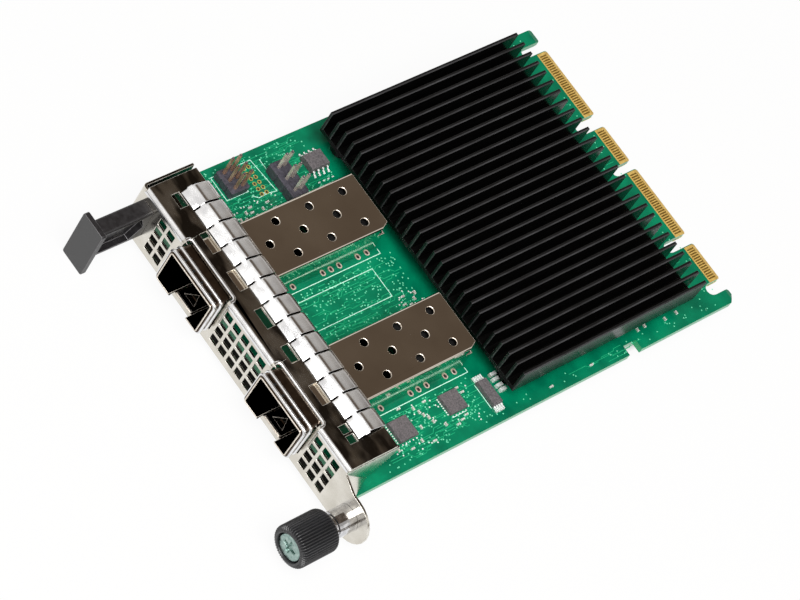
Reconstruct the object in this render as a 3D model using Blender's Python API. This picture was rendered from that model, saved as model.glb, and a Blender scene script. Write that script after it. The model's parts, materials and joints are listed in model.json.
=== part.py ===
"""A mezzanine network card: a board with a gold card edge, two pluggable-module cages behind
a sheet-metal faceplate, a finned heatsink over the controller, a pull tab and a thumbscrew.

Lengths are in metres. In the board's own frame X runs across the card, Y from the faceplate
to the gold edge, and Z = 0 is the board's top face. The empty card_frame moves that frame so
that the origin lies under the middle of the card, at its lowest point.
"""

import math

import bmesh
import bpy
from mathutils import Vector
from mathutils.geometry import tessellate_polygon

# Board and its card edge
CARD_LENGTH = 0.1167
BOARD_WIDTH = 0.0760
BOARD_THICKNESS = 0.00157
BOARD_SETBACK = 0.0043
BLADE_CONTACTS = (28, 14, 28, 14)
CONTACT_PITCH = 0.0006
CONTACT_MARGIN = 0.0009
LEFT_TONGUE = 0.0034
RIGHT_TONGUE = 0.0032
KEY_SLOT_WIDTHS = (0.00255, 0.00355, 0.0023, 0.0028, 0.0030)
KEY_SLOT_DEPTHS = (0.0065, 0.0073, 0.0065, 0.0077, 0.0054)
BLADE_CHAMFER = 0.0004
TIP_BEVEL_LENGTH = 0.0011
TIP_BEVEL_DEPTH = 0.00035
TONGUE_CHAMFER = 0.0018
EDGE_NOTCH_TO_TIP = 0.0334
EDGE_NOTCH_LENGTH = 0.0037
EDGE_NOTCH_DEPTH = 0.0024

# How closely pieces lie to each other, and how far a cutter reaches past what it cuts
SEAT = 0.00005
SLIP = 0.00015
CLEARANCE = 0.00025
CUT_MARGIN = 0.0010

# Module cages, collars and the connectors inside them
PORT_INSETS = (0.0240, 0.02091)
CAGE_WIDTH = 0.0140
CAGE_HEIGHT = 0.0095
CAGE_LENGTH = 0.0483
CAGE_OVERHANG = 0.0035
CAGE_WALL = 0.0003
CAGE_CORNER = 0.0006
CAGE_BACK_CUT = (0.0010, 0.0020, 0.0030)
VENT_RADIUS = 0.0010
VENT_PITCH = 0.0091
VENT_ROW_OFFSET = 0.00403
VENT_SIDE_START = 0.0253
VENT_MIDDLE_START = 0.02075
VENTS_PER_ROW = 3
LATCH_OFFSET = 0.0004
LATCH_SETBACK = 0.0016
LATCH_LENGTH = 0.0088
LATCH_WIDTH = 0.0052
LATCH_SLIT = 0.0004
LATCH_LIP = (0.0050, 0.0004, 0.0006)
CATCH_SETBACK = 0.0033
CATCH_SIZE = (0.0032, 0.0026)
COLLAR_WALL = 0.0002
COLLAR_PROFILE = (
    (0.00035, 0.00005), (0.0005, 0.00025), (0.0008, 0.00025), (0.0010, 0.0), (0.0020, 0.0), (0.0022, 0.00025),
    (0.0026, 0.00025), (0.0029, 0.00005), (0.0036, 0.0001), (0.0044, 0.0001), (0.00495, 0.0),
)
COLLAR_HOLE = 0.0005
COLLAR_HOLE_SETBACK = 0.0015
COLLAR_HOLE_OFFSETS = (-0.0041, -0.0013, 0.0015, 0.0044)
COLLAR_HOLE_HEIGHTS = (0.0022, 0.0048, 0.0074)
SOCKET_INSET = 0.00125
SOCKET_SLOT_INSET = 0.00115
SOCKET_HEIGHT = 0.0084
SOCKET_LENGTH = 0.0125
SOCKET_STEP = 0.0025
SOCKET_NOSE = 0.0010
SOCKET_SLOT_HEIGHT = 0.0014
SOCKET_SLOT_DEPTH = 0.0090

# Faceplate, one folded sheet
SHEET = 0.0006
BEND_RADIUS = 0.0010
PLATE_LEFT_INSET = 0.0028
PLATE_RIGHT_INSET = 0.0025
PLATE_BOTTOM = -0.0038
FLANGE_TOP = 0.0102
FLANGE_DEPTH = 0.0132
NOTCH_DEPTH = 0.0022
NOTCH_BEAD = 0.00038
GRILLE_HOLE = 0.0021
GRILLE_PITCH = 0.00283
GRILLE_ROWS = 4
GRILLE_FIRST_Z = -0.0011
GRILLE_MARGIN = 0.0008
GRILLE_SHIFT = -0.0002
MIDDLE_WINDOWS = ((0.370, 0.148), (0.664, 0.130))
LEFT_WINDOW = (0.0034, 0.0034)
RIGHT_WINDOWS = ((0.0090, 0.0019), (0.0065, 0.0018))
PORT_WINDOWS = ((0, -0.0078, 0.0049), (0, 0.0019, 0.0047), (1, -0.0007, 0.0048))
WINDOW_SETBACK = 0.0041
WINDOW_DEPTH = 0.0020
LEFT_WALL_STEP = 0.0012
LEFT_WALL_DEPTH = 0.0132
RIGHT_WALL_TOP = 0.0091
RIGHT_WALL_REAR = ((0.0097, 0.0005), (0.01135, 0.00155), (0.01185, 0.0032), (0.01355, 0.00515), (0.0143, 0.0078))
GUSSET_FOOT = 0.0030
GUSSET_KNEE = (0.0025, 0.0048)
EAR_OUT = 0.0056
EAR_Z = 0.0008
EAR_RADIUS = 0.0058
EAR_SHOULDERS = (0.0041, 0.0029, 0.0018)
FOOT_LENGTH = 0.0062
FOOT_DEPTH = 0.0055
FOOT_SETBACK = 0.0062

# Spring-finger strip: an arch from the flange's top to behind its rear edge
FINGER_COUNT = 13
STRIP_INSETS = (0.0036, 0.0047)
STRIP_SETBACK = 0.00635
STRIP_RISE = 0.0018
STRIP_METAL = 0.00015
STRIP_PROFILE = (
    (0.00245, 0.0001), (0.0028, 0.0), (0.0032, 0.00008), (0.0050, 0.00065), (0.0066, 0.0011), (0.0075, 0.0017),
    (0.0079, 0.0024),
)
FINGER_GAP = 0.00035
FRONT_SLIT = 0.0014
REAR_SLIT_SETBACK = 0.0022

# Heatsink and what it cools
FIN_COUNT = 27
FIN_THICKNESS = 0.00075
FIN_HEIGHT = 0.0056
SINK_BASE = 0.0010
SINK_STANDOFF = 0.0040
SINK_SIDE_INSET = 0.00353
SINK_TO_CAGE = 0.0043
SINK_TO_TIP = 0.01345
SINK_POST_RADIUS = 0.0024
SINK_POST_INSET = 0.0045
CHIP_SIDE = 0.0250
CHIP_HEIGHT = 0.0024
CHIP_LID_SIDE = 0.0180
CHIP_LID_HEIGHT = 0.0006
PAD_THICKNESS = 0.0005
PAD_INSET = 0.0005

# Screws up through the board, into the heatsink's posts and the faceplate's feet
SCREW_RADIUS = 0.0010
SCREW_HEAD_RADIUS = 0.0020
SCREW_HEAD_HEIGHT = 0.0013
SCREW_RECESS = 0.0007

# Thumbscrew, in the faceplate's ear
KNOB_RADIUS = 0.00465
KNOB_LENGTH = 0.0098
KNOB_STANDOFF = 0.0059
KNOB_RIBS = 48
KNOB_RIB_DEPTH = 0.00022
KNOB_CHAMFER = 0.0004
KNOB_SHOULDER = 0.0009
KNOB_RECESS_GAP = 0.0003
KNOB_CAVITY_LENGTH = 0.0056
KNOB_WEB = 0.0025
FERRULE_RADIUS = 0.00295
FERRULE_NECK_RADIUS = 0.0027
FERRULE_NECK_LENGTH = 0.0012
FERRULE_WALL = 0.0007
FERRULE_SHOULDER = 0.0010
FERRULE_INSERT = 0.0011
FERRULE_OVERLAP = 0.0011
FERRULE_EDGE = 0.0002
STUD_RADIUS = 0.0014
STUD_HEAD_RADIUS = 0.0030
STUD_HEAD_HEIGHT = 0.0013
STUD_HEAD_EDGE = 0.00015
STUD_TIP = 0.0003
STUD_TIP_CHAMFER = (0.0006, 0.0005)
STUD_CROSS = (0.0017, 0.00045, 0.0008)
PRESS_TRAVEL = 0.0029
SPRING_WIRE = 0.00022
SPRING_TURNS = 6
SPRING_STEPS = 12

# Pull tab, moulded in one piece with a barbed stem that snaps through the faceplate
TAB_IN = 0.00255
TAB_Z = 0.00325
TAB_WIDTH = 0.0039
TAB_HEIGHT = 0.0089
TAB_LENGTH = 0.0142
TAB_CORNER = 0.0006
TAB_END_THICKNESS = 0.0012
TAB_END_CORNER = 0.0005
TAB_END_SIDES = (-0.0012, 0.0053)
TAB_END_BOTTOM = -0.0055
TAB_END_TOP = 0.0084
TAB_POCKET_DEPTH = 0.0015
TAB_POCKET_RIM = 0.0010
TAB_POCKET_SETBACKS = (0.0034, 0.0010, 0.0026)
TAB_STEM_WIDTH = 0.0018
TAB_STEM_HEIGHT = 0.0050
TAB_BARB = 0.0005
TAB_BARB_LENGTH = 0.0014

# Parts soldered to the board: width, depth and height
SMALL_HEADER_SIZE = (0.0060, 0.0050, 0.0020)
LARGE_HEADER_SIZE = (0.0090, 0.0045, 0.0025)
MEMORY_SIZE = (0.0040, 0.0050, 0.0015)
REGULATOR_SIZES = ((0.0048, 0.0048, 0.0009), (0.0050, 0.0050, 0.0009))
CLOCK_SIZE = (0.0062, 0.0026, 0.0012)
CAPACITOR_SIZE = (0.0007, 0.0015, 0.0007)
HEADER_NICK = 0.0003
SMALL_PIN_PITCH = 0.0020
LARGE_PIN_PITCH = 0.0015
PIN_SIDE = 0.00050
PIN_LENGTH = 0.0078
MOULD_DRAFT = 0.00012
LEAD_THICKNESS = 0.0002
LEAD_WIDTH = 0.0004
LEAD_REACH = 0.0010
MEMORY_LEAD_PITCH = 0.00127
CLOCK_LEAD_PITCH = 0.00065
LEADS_PER_SIDE = 4

# Their left sides from the board's left side, or from its right side where they lie to the right
SMALL_HEADER_X = 0.0022
LARGE_HEADER_X = 0.0055
MEMORY_X = 0.0062
REGULATOR_XS = (0.0107, 0.0104)
CLOCK_X = 0.0096
CAPACITOR_XS = (0.0097, 0.0085, 0.0070, 0.0059)

# Their front edges: shares of the way from the faceplate to the heatsink, or places from the heatsink
SMALL_HEADER_SHARE = 0.4583
LARGE_HEADER_SHARE = 0.6986
REGULATOR_SHARES = (0.7251, 0.4318)
MEMORY_TO_SINK = 0.0057
CLOCK_TO_SINK = 0.0036
CAPACITORS_PAST_SINK = (0.0013, 0.0012, 0.0011, 0.0012)

# Places worked out from the sizes above, with the card edge's tip as the fixed one
TIP_Y = 0.0575
FACE_Y = TIP_Y - CARD_LENGTH
BOARD_LEFT = -BOARD_WIDTH / 2
BOARD_RIGHT = BOARD_WIDTH / 2
BOARD_FRONT_Y = FACE_Y + BOARD_SETBACK
BOARD_BOTTOM = -BOARD_THICKNESS
EDGE_NOTCH_Y = TIP_Y - EDGE_NOTCH_TO_TIP
PORT_CENTRES = (BOARD_LEFT + PORT_INSETS[0], BOARD_RIGHT - PORT_INSETS[1])
PORT_REACH = CAGE_WIDTH / 2 + SEAT + COLLAR_WALL + CLEARANCE
MOUTH_Y = FACE_Y - CAGE_OVERHANG
SOCKET_WIDTH = CAGE_WIDTH - 2 * SOCKET_INSET
PLATE_BACK_Y = FACE_Y + SHEET
PLATE_LEFT = BOARD_LEFT + PLATE_LEFT_INSET
PLATE_RIGHT = BOARD_RIGHT - PLATE_RIGHT_INSET
LEFT_WALL_X = PLATE_LEFT - LEFT_WALL_STEP
EAR_X = PLATE_RIGHT + EAR_OUT
STRIP_LEFT = PLATE_LEFT + STRIP_INSETS[0]
STRIP_RIGHT = PLATE_RIGHT - STRIP_INSETS[1]
FINGER_PITCH = (STRIP_RIGHT - STRIP_LEFT) / FINGER_COUNT
SINK_FRONT_Y = MOUTH_Y + CAGE_LENGTH + SINK_TO_CAGE
SINK_BACK_Y = TIP_Y - SINK_TO_TIP
SINK_HALF = BOARD_WIDTH / 2 - SINK_SIDE_INSET
FIN_PITCH = (2 * SINK_HALF - FIN_THICKNESS) / (FIN_COUNT - 1)
SINK_BASE_TOP = SINK_STANDOFF + SINK_BASE
KNOB_BACK_Y = FACE_Y - KNOB_STANDOFF
KNOB_FRONT_Y = KNOB_BACK_Y - KNOB_LENGTH
WEB_BACK_Y = KNOB_BACK_Y - KNOB_CAVITY_LENGTH
WEB_FRONT_Y = WEB_BACK_Y - KNOB_WEB
TAB_X = PLATE_LEFT + TAB_IN
TAB_FRONT_Y = FACE_Y - TAB_LENGTH
SCREW_HOLE_RADIUS = SCREW_RADIUS + SLIP
SINK_SCREWS = tuple(
    (x, y)
    for x in (-SINK_HALF + SINK_POST_INSET, SINK_HALF - SINK_POST_INSET)
    for y in (SINK_FRONT_Y + SINK_POST_INSET, SINK_BACK_Y - SINK_POST_INSET)
)
FOOT_SCREWS = (
    (PLATE_LEFT + FOOT_LENGTH / 2, FACE_Y + FOOT_SETBACK + FOOT_DEPTH / 2),
    (PLATE_RIGHT - FOOT_LENGTH / 2, FACE_Y + FOOT_SETBACK + FOOT_DEPTH / 2),
)


def clear_scene():
    for obj in list(bpy.data.objects):
        bpy.data.objects.remove(obj)


def material(name, colour, roughness, metallic=0.0):
    """A Principled material, from a linear colour."""
    made = bpy.data.materials.new(name)
    made.use_nodes = True
    shader = made.node_tree.nodes["Principled BSDF"]
    shader.inputs["Base Color"].default_value = (*colour, 1.0)
    shader.inputs["Roughness"].default_value = roughness
    shader.inputs["Metallic"].default_value = metallic
    return made


def arc(centre, radius, start, end, steps):
    """Points along an arc, from one angle in degrees to another, both ends included."""
    turns = [math.radians(start + (end - start) * step / steps) for step in range(steps + 1)]
    return [(centre[0] + radius * math.cos(a), centre[1] + radius * math.sin(a)) for a in turns]


def circle(centre, radius, sides):
    return arc(centre, radius, 0, 360, sides)[:-1]


def rectangle(left, right, bottom, top):
    return [(left, bottom), (right, bottom), (right, top), (left, top)]


def rounded(left, right, bottom, top, radius, steps=3):
    """A rectangle with round corners, counter-clockwise."""
    return (
        arc((right - radius, bottom + radius), radius, -90, 0, steps)
        + arc((right - radius, top - radius), radius, 0, 90, steps)
        + arc((left + radius, top - radius), radius, 90, 180, steps)
        + arc((left + radius, bottom + radius), radius, 180, 270, steps)
    )


def prism(outline, low, high, axis="Z", holes=()):
    """Points and faces of a flat outline, with holes, carried from low to high along an axis.

    The outline's two coordinates belong to the other two axes, in X, Y, Z order.
    """
    loops = [list(outline)] + [list(hole) for hole in holes]
    flat = [point for loop in loops for point in loop]
    count = len(flat)
    place = "XYZ".index(axis)
    points = []
    for height in (low, high):
        for point in flat:
            coords = list(point)
            coords.insert(place, height)
            points.append(tuple(coords))
    if holes:
        caps = tessellate_polygon([[Vector((*point, 0)) for point in loop] for loop in loops])
    else:
        caps = [tuple(range(count))]
    faces = [tuple(cap) for cap in caps]
    faces += [tuple(index + count for index in cap) for cap in caps]
    start = 0
    for loop in loops:
        for step in range(len(loop)):
            here = start + step
            after = start + (step + 1) % len(loop)
            faces.append((here, after, after + count, here + count))
        start += len(loop)
    return points, faces


def box(low, high):
    return prism(rectangle(low[0], high[0], low[1], high[1]), low[2], high[2])


def loft(rings, closed=False):
    """Points and faces through rings of as many points each. An open loft gets end caps."""
    count = len(rings[0])
    points = [point for ring in rings for point in ring]
    faces = []
    for row in range(len(rings) if closed else len(rings) - 1):
        first = row * count
        second = (row + 1) % len(rings) * count
        for step in range(count):
            after = (step + 1) % count
            faces.append((first + step, first + after, second + after, second + step))
    if not closed:
        faces.append(tuple(range(count)))
        faces.append(tuple(range(len(points) - count, len(points))))
    return points, faces


def turned(profile, sides):
    """Points and faces of a closed profile of (radius, height) turned round Z.

    A profile that starts and ends at radius 0 is solid; any other is a ring with a bore.
    """
    points = []
    rows = []
    for radius, height in profile:
        if radius == 0:
            rows.append([len(points)] * sides)
            points.append((0.0, 0.0, height))
            continue
        rows.append(list(range(len(points), len(points) + sides)))
        points += [(x, y, height) for x, y in circle((0.0, 0.0), radius, sides)]
    solid = profile[0][0] == 0
    faces = []
    for row in range(len(rows) - 1 if solid else len(rows)):
        here = rows[row]
        there = rows[(row + 1) % len(rows)]
        for step in range(sides):
            after = (step + 1) % sides
            corners = (here[step], here[after], there[after], there[step])
            faces.append(tuple(dict.fromkeys(corners)))
    return points, faces


def sheet_outline(path, thickness):
    """The outline of sheet metal whose outer face follows a path, with the metal on its right."""
    inner = []
    for index, (x, y) in enumerate(path):
        before = Vector(path[max(index - 1, 0)])
        after = Vector(path[min(index + 1, len(path) - 1)])
        here = Vector((x, y))
        arriving = (here - before).normalized()
        leaving = (after - here).normalized()
        across = arriving + leaving
        across.normalize()
        stretch = 1 / max(0.5, across.dot(leaving if leaving.length else arriving))
        inner.append((x + across.y * thickness * stretch, y - across.x * thickness * stretch))
    return list(path) + inner[::-1]


def merged(*shapes):
    """Several shapes' points and faces as one."""
    points = []
    faces = []
    for shape_points, shape_faces in shapes:
        start = len(points)
        points += shape_points
        faces += [tuple(index + start for index in face) for face in shape_faces]
    return points, faces


def add_object(name, shape, finish=None, smooth=False):
    """A mesh object in the card's frame, with every face turned outwards."""
    points, faces = shape
    mesh = bpy.data.meshes.new(name)
    mesh.from_pydata([tuple(point) for point in points], [], faces)
    work = bmesh.new()
    work.from_mesh(mesh)
    bmesh.ops.recalc_face_normals(work, faces=work.faces)
    work.to_mesh(mesh)
    work.free()
    if smooth:
        mesh.shade_smooth()
        mesh.set_sharp_from_angle(angle=math.radians(35))
    if finish:
        mesh.materials.append(finish)
    obj = bpy.data.objects.new(name, mesh)
    bpy.context.scene.collection.objects.link(obj)
    obj.parent = CARD_FRAME
    return obj


def combine(target, operation, name, shape):
    """Cuts a shape from the target, or joins it on, with a Boolean that stays live."""
    helper = add_object(f"{target.name}_{name}", shape)
    helper.hide_render = True
    helper.display_type = "WIRE"
    modifier = target.modifiers.new(name, "BOOLEAN")
    modifier.operation = operation
    modifier.object = helper
    modifier.solver = "EXACT"
    return helper


def on_y_axis(obj, x, y, z):
    """Places a piece turned round its own Z so that its Z runs along Y from a point."""
    obj.location = (x, y, z)
    obj.rotation_euler = (math.radians(-90), 0, 0)


def tube(path, radius, sides):
    """A round bar along a path of points that never runs along the line of Y and Z together."""
    up = Vector((0.0, 1.0, 1.0))
    rings = []
    for index, point in enumerate(path):
        before = Vector(path[max(index - 1, 0)])
        after = Vector(path[min(index + 1, len(path) - 1)])
        ahead = (after - before).normalized()
        side = ahead.cross(up).normalized()
        over = side.cross(ahead)
        rings.append([Vector(point) + side * x + over * z for x, z in circle((0.0, 0.0), radius, sides)])
    return loft(rings)


def card_edge_slots():
    """The five slots of the card edge, as left side, right side and bottom, from the left."""
    blades = [(count - 1) * CONTACT_PITCH + 2 * CONTACT_MARGIN for count in BLADE_CONTACTS]
    plan = LEFT_TONGUE + sum(KEY_SLOT_WIDTHS) + sum(blades) + RIGHT_TONGUE
    stretch = BOARD_WIDTH / plan
    slots = []
    left = BOARD_LEFT + LEFT_TONGUE * stretch
    for width, depth, blade in zip(KEY_SLOT_WIDTHS, KEY_SLOT_DEPTHS, [*blades, 0.0]):
        right = left + width * stretch
        slots.append((left, right, TIP_Y - depth))
        left = right + blade * stretch
    return slots


def board_outline():
    """The board from above, counter-clockwise from its front left corner."""
    outline = [
        (BOARD_LEFT, BOARD_FRONT_Y),
        (BOARD_RIGHT, BOARD_FRONT_Y),
        (BOARD_RIGHT, EDGE_NOTCH_Y),
        (BOARD_RIGHT - EDGE_NOTCH_DEPTH, EDGE_NOTCH_Y),
        (BOARD_RIGHT - EDGE_NOTCH_DEPTH, EDGE_NOTCH_Y + EDGE_NOTCH_LENGTH),
        (BOARD_RIGHT, EDGE_NOTCH_Y + EDGE_NOTCH_LENGTH),
        (BOARD_RIGHT, TIP_Y - TONGUE_CHAMFER),
        (BOARD_RIGHT - TONGUE_CHAMFER, TIP_Y),
    ]
    for left, right, bottom in reversed(card_edge_slots()):
        radius = (right - left) / 2
        outline.append((right + BLADE_CHAMFER, TIP_Y))
        outline.append((right, TIP_Y - BLADE_CHAMFER))
        outline += arc((left + radius, bottom + radius), radius, 0, -180, 6)
        outline.append((left, TIP_Y - BLADE_CHAMFER))
        outline.append((left - BLADE_CHAMFER, TIP_Y))
    outline.append((BOARD_LEFT + BLADE_CHAMFER, TIP_Y))
    outline.append((BOARD_LEFT, TIP_Y - BLADE_CHAMFER))
    return outline


def make_board():
    finish = material("board_green", (0.004, 0.130, 0.062), 0.35)
    holes = [circle(place, SCREW_HOLE_RADIUS, 12) for place in SINK_SCREWS + FOOT_SCREWS]
    board = add_object("circuit_board", prism(board_outline(), BOARD_BOTTOM, 0.0, holes=holes), finish)
    run = 1 + CUT_MARGIN / TIP_BEVEL_LENGTH
    wedges = []
    for surface, outward in ((0.0, 1), (BOARD_BOTTOM, -1)):
        profile = [
            (TIP_Y - TIP_BEVEL_LENGTH, surface),
            (TIP_Y + CUT_MARGIN, surface - outward * TIP_BEVEL_DEPTH * run),
            (TIP_Y + CUT_MARGIN, surface + outward * CUT_MARGIN),
            (TIP_Y - TIP_BEVEL_LENGTH, surface + outward * CUT_MARGIN),
        ]
        wedges.append(prism(profile, BOARD_LEFT - CUT_MARGIN, BOARD_RIGHT + CUT_MARGIN, "X"))
    combine(board, "DIFFERENCE", "tip_bevels", merged(*wedges))


def grille_columns():
    """The X of every column of the grille: as many as fit beside and between the ports."""
    rooms = (
        (TAB_X + TAB_WIDTH / 2, PORT_CENTRES[0] - PORT_REACH),
        (PORT_CENTRES[0] + PORT_REACH, PORT_CENTRES[1] - PORT_REACH),
        (PORT_CENTRES[1] + PORT_REACH, PLATE_RIGHT - SHEET),
    )
    columns = []
    for left, right in rooms:
        count = int((right - left - 2 * GRILLE_MARGIN - GRILLE_HOLE) / GRILLE_PITCH) + 1
        first = (left + right - (count - 1) * GRILLE_PITCH) / 2 + GRILLE_SHIFT
        columns += [first + column * GRILLE_PITCH for column in range(count)]
    return columns


def grille_holes():
    """The faceplate's square holes, as boxes through its sheet."""
    half = GRILLE_HOLE / 2
    holes = []
    for x in grille_columns():
        for row in range(GRILLE_ROWS):
            z = GRILLE_FIRST_Z + row * GRILLE_PITCH
            outline = rectangle(x - half, x + half, z - half, z + half)
            holes.append(prism(outline, FACE_Y - SHEET, PLATE_BACK_Y + SHEET, "Y"))
    return holes


def port_openings():
    """What the faceplate leaves open round each collar, cut back into the flange as a notch."""
    low = -COLLAR_WALL - CLEARANCE
    return [
        prism(
            rectangle(centre - PORT_REACH, centre + PORT_REACH, low, FLANGE_TOP + SHEET),
            FACE_Y - SHEET, FACE_Y + NOTCH_DEPTH, "Y",
        )
        for centre in PORT_CENTRES
    ]


def notch_beads():
    """The rolled edge along the back of each notch, which curves forwards and down at its ends."""
    height = FLANGE_TOP - SHEET + NOTCH_BEAD
    depth = FACE_Y + NOTCH_DEPTH - NOTCH_BEAD / 2
    middle = FACE_Y + SHEET / 2
    reach = PORT_REACH + NOTCH_BEAD
    corner = depth - BEND_RADIUS - middle
    level = [(x, y, height) for x, y in arc((reach - corner, depth - corner), corner, 90, 0, 3)]
    falling = arc((middle + BEND_RADIUS, height - BEND_RADIUS), BEND_RADIUS, 90, 180, 3)
    half = level + [(reach, y, z) for y, z in falling[1:]]
    beads = []
    for centre in PORT_CENTRES:
        path = [(centre - x, y, z) for x, y, z in reversed(half)] + [(centre + x, y, z) for x, y, z in half]
        beads.append(tube(path, NOTCH_BEAD, 8))
    return beads


def flange_windows():
    """Small windows through the flange, in front of the finger strip."""
    span = PORT_CENTRES[1] - PORT_CENTRES[0]
    windows = [(PLATE_LEFT + LEFT_WINDOW[0], LEFT_WINDOW[1])]
    windows += [(PORT_CENTRES[0] + start * span, share * span) for start, share in MIDDLE_WINDOWS]
    windows += [(PLATE_RIGHT - inset, width) for inset, width in RIGHT_WINDOWS]
    windows += [(PORT_CENTRES[port] + offset, width) for port, offset, width in PORT_WINDOWS]
    front = FACE_Y + WINDOW_SETBACK
    return [
        box((left, front, FLANGE_TOP - 2 * SHEET), (left + width, front + WINDOW_DEPTH, FLANGE_TOP + SHEET))
        for left, width in windows
    ]


def tab_stem_outline(margin=0.0, rise=0.0):
    """The section of the pull tab's stem, with a margin all round and a rise above and below."""
    half_width = TAB_STEM_WIDTH / 2 + margin
    half_height = TAB_STEM_HEIGHT / 2 + margin + rise
    return rectangle(TAB_X - half_width, TAB_X + half_width, TAB_Z - half_height, TAB_Z + half_height)


def side_walls():
    """The left wall, folded back from the plate with a slit to the flange, and the right wall."""
    corner = (LEFT_WALL_X + BEND_RADIUS, FACE_Y + BEND_RADIUS)
    path = [(PLATE_LEFT + SHEET / 2, FACE_Y)] + arc(corner, BEND_RADIUS, -90, -180, 4)
    path.append((LEFT_WALL_X, FACE_Y + LEFT_WALL_DEPTH))
    left_wall = prism(sheet_outline(path, SHEET), SEAT, FLANGE_TOP)
    rear = [(FACE_Y + y, z) for y, z in RIGHT_WALL_REAR]
    outline = [
        (FACE_Y + SHEET / 2, RIGHT_WALL_TOP),
        (FACE_Y + SHEET / 2, RIGHT_WALL_TOP - 2 * SHEET),
        (rear[0][0] - SHEET, SEAT),
        *rear,
        (rear[-1][0], RIGHT_WALL_TOP),
    ]
    return left_wall, prism(outline, PLATE_RIGHT - SHEET, PLATE_RIGHT, "X")


def ear_plate():
    """The ear for the thumbscrew, in the faceplate's own plane, with the ferrule's hole."""
    low, below, above = EAR_SHOULDERS
    top = RIGHT_WALL_TOP - SHEET
    outline = [(PLATE_RIGHT - SHEET, top), (PLATE_RIGHT - SHEET, PLATE_BOTTOM), (EAR_X - low, PLATE_BOTTOM)]
    outline.append((EAR_X - below, EAR_Z - EAR_RADIUS))
    outline += arc((EAR_X, EAR_Z), EAR_RADIUS, -90, 90, 12)
    outline += [(EAR_X - above, EAR_Z + EAR_RADIUS), (PLATE_RIGHT, top)]
    hole = circle((EAR_X, EAR_Z), FERRULE_RADIUS - FERRULE_WALL + SLIP, 24)
    return prism(outline, FACE_Y, PLATE_BACK_Y, "Y", holes=[hole])


def gusset_panels():
    """The two panels of the gusset that runs from the right wall out to the ear."""
    foot_z = SEAT + SHEET / 2
    middle = FACE_Y + SHEET / 2
    top = Vector((PLATE_RIGHT, middle, RIGHT_WALL_TOP - SHEET))
    foot = Vector((PLATE_RIGHT + GUSSET_FOOT, middle, foot_z))
    knee = Vector((PLATE_RIGHT + GUSSET_KNEE[0], FACE_Y + GUSSET_KNEE[1], foot_z))
    rear = Vector((PLATE_RIGHT, FACE_Y + RIGHT_WALL_REAR[0][0], foot_z))
    panels = []
    for outer in ([top, foot, knee], [top, knee, rear]):
        inward = (outer[1] - top).cross(outer[2] - top).normalized() * SHEET
        if inward.x > 0:
            inward.negate()
        panels.append(loft([outer, [corner + inward for corner in outer]]))
    return panels


def make_faceplate():
    finish = material("faceplate_zinc", (0.60, 0.58, 0.54), 0.35, 1.0)
    corner = (FACE_Y + BEND_RADIUS, FLANGE_TOP - BEND_RADIUS)
    path = [(FACE_Y, PLATE_BOTTOM)] + arc(corner, BEND_RADIUS, 180, 90, 4)
    path.append((FACE_Y + FLANGE_DEPTH, FLANGE_TOP))
    plate = add_object("faceplate", prism(sheet_outline(path, SHEET), PLATE_LEFT, PLATE_RIGHT, "X"), finish)
    left_wall, right_wall = side_walls()
    combine(plate, "UNION", "left_wall", left_wall)
    combine(plate, "UNION", "right_wall", right_wall)
    combine(plate, "UNION", "ear", ear_plate())
    for number, panel in enumerate(gusset_panels(), start=1):
        combine(plate, "UNION", f"gusset_{number}", panel)
    feet = []
    front = FACE_Y + FOOT_SETBACK
    for left, right in (
        (LEFT_WALL_X + SHEET / 2, PLATE_LEFT + SHEET / 2 + FOOT_LENGTH),
        (PLATE_RIGHT - SHEET / 2 - FOOT_LENGTH, PLATE_RIGHT - SHEET / 2),
    ):
        feet.append(box((left, front, SEAT), (right, front + FOOT_DEPTH, SEAT + SHEET)))
    combine(plate, "UNION", "feet", merged(*feet))
    foot_holes = [prism(circle(place, SCREW_HOLE_RADIUS, 12), -SHEET, 3 * SHEET) for place in FOOT_SCREWS]
    stem_hole = prism(tab_stem_outline(SLIP), FACE_Y - SHEET, PLATE_BACK_Y + SHEET, "Y")
    cuts = grille_holes() + port_openings() + flange_windows() + foot_holes + [stem_hole]
    combine(plate, "DIFFERENCE", "openings", merged(*cuts))
    combine(plate, "UNION", "notch_beads", merged(*notch_beads()))


def make_finger_strip():
    """Springy fingers along the flange: an arch in section, slit from both long edges."""
    finish = material("spring_steel", (0.62, 0.62, 0.63), 0.28, 1.0)
    front = FACE_Y + STRIP_SETBACK
    top = FLANGE_TOP + STRIP_RISE
    back = front + STRIP_PROFILE[-1][0]
    path = [(front, FLANGE_TOP + SEAT + STRIP_METAL)]
    path += [(front + along, top - fall) for along, fall in STRIP_PROFILE]
    strip = add_object("finger_strip", prism(sheet_outline(path, STRIP_METAL), STRIP_LEFT, STRIP_RIGHT, "X"), finish)
    slits = []
    for index in range(1, FINGER_COUNT):
        x = STRIP_LEFT + index * FINGER_PITCH
        for start, end in ((-CUT_MARGIN, FRONT_SLIT), (REAR_SLIT_SETBACK, back + CUT_MARGIN - front)):
            low_corner = (x - FINGER_GAP / 2, front + start, FLANGE_TOP - STRIP_RISE)
            slits.append(box(low_corner, (x + FINGER_GAP / 2, front + end, top + CUT_MARGIN)))
    combine(strip, "DIFFERENCE", "slits", merged(*slits))


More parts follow.
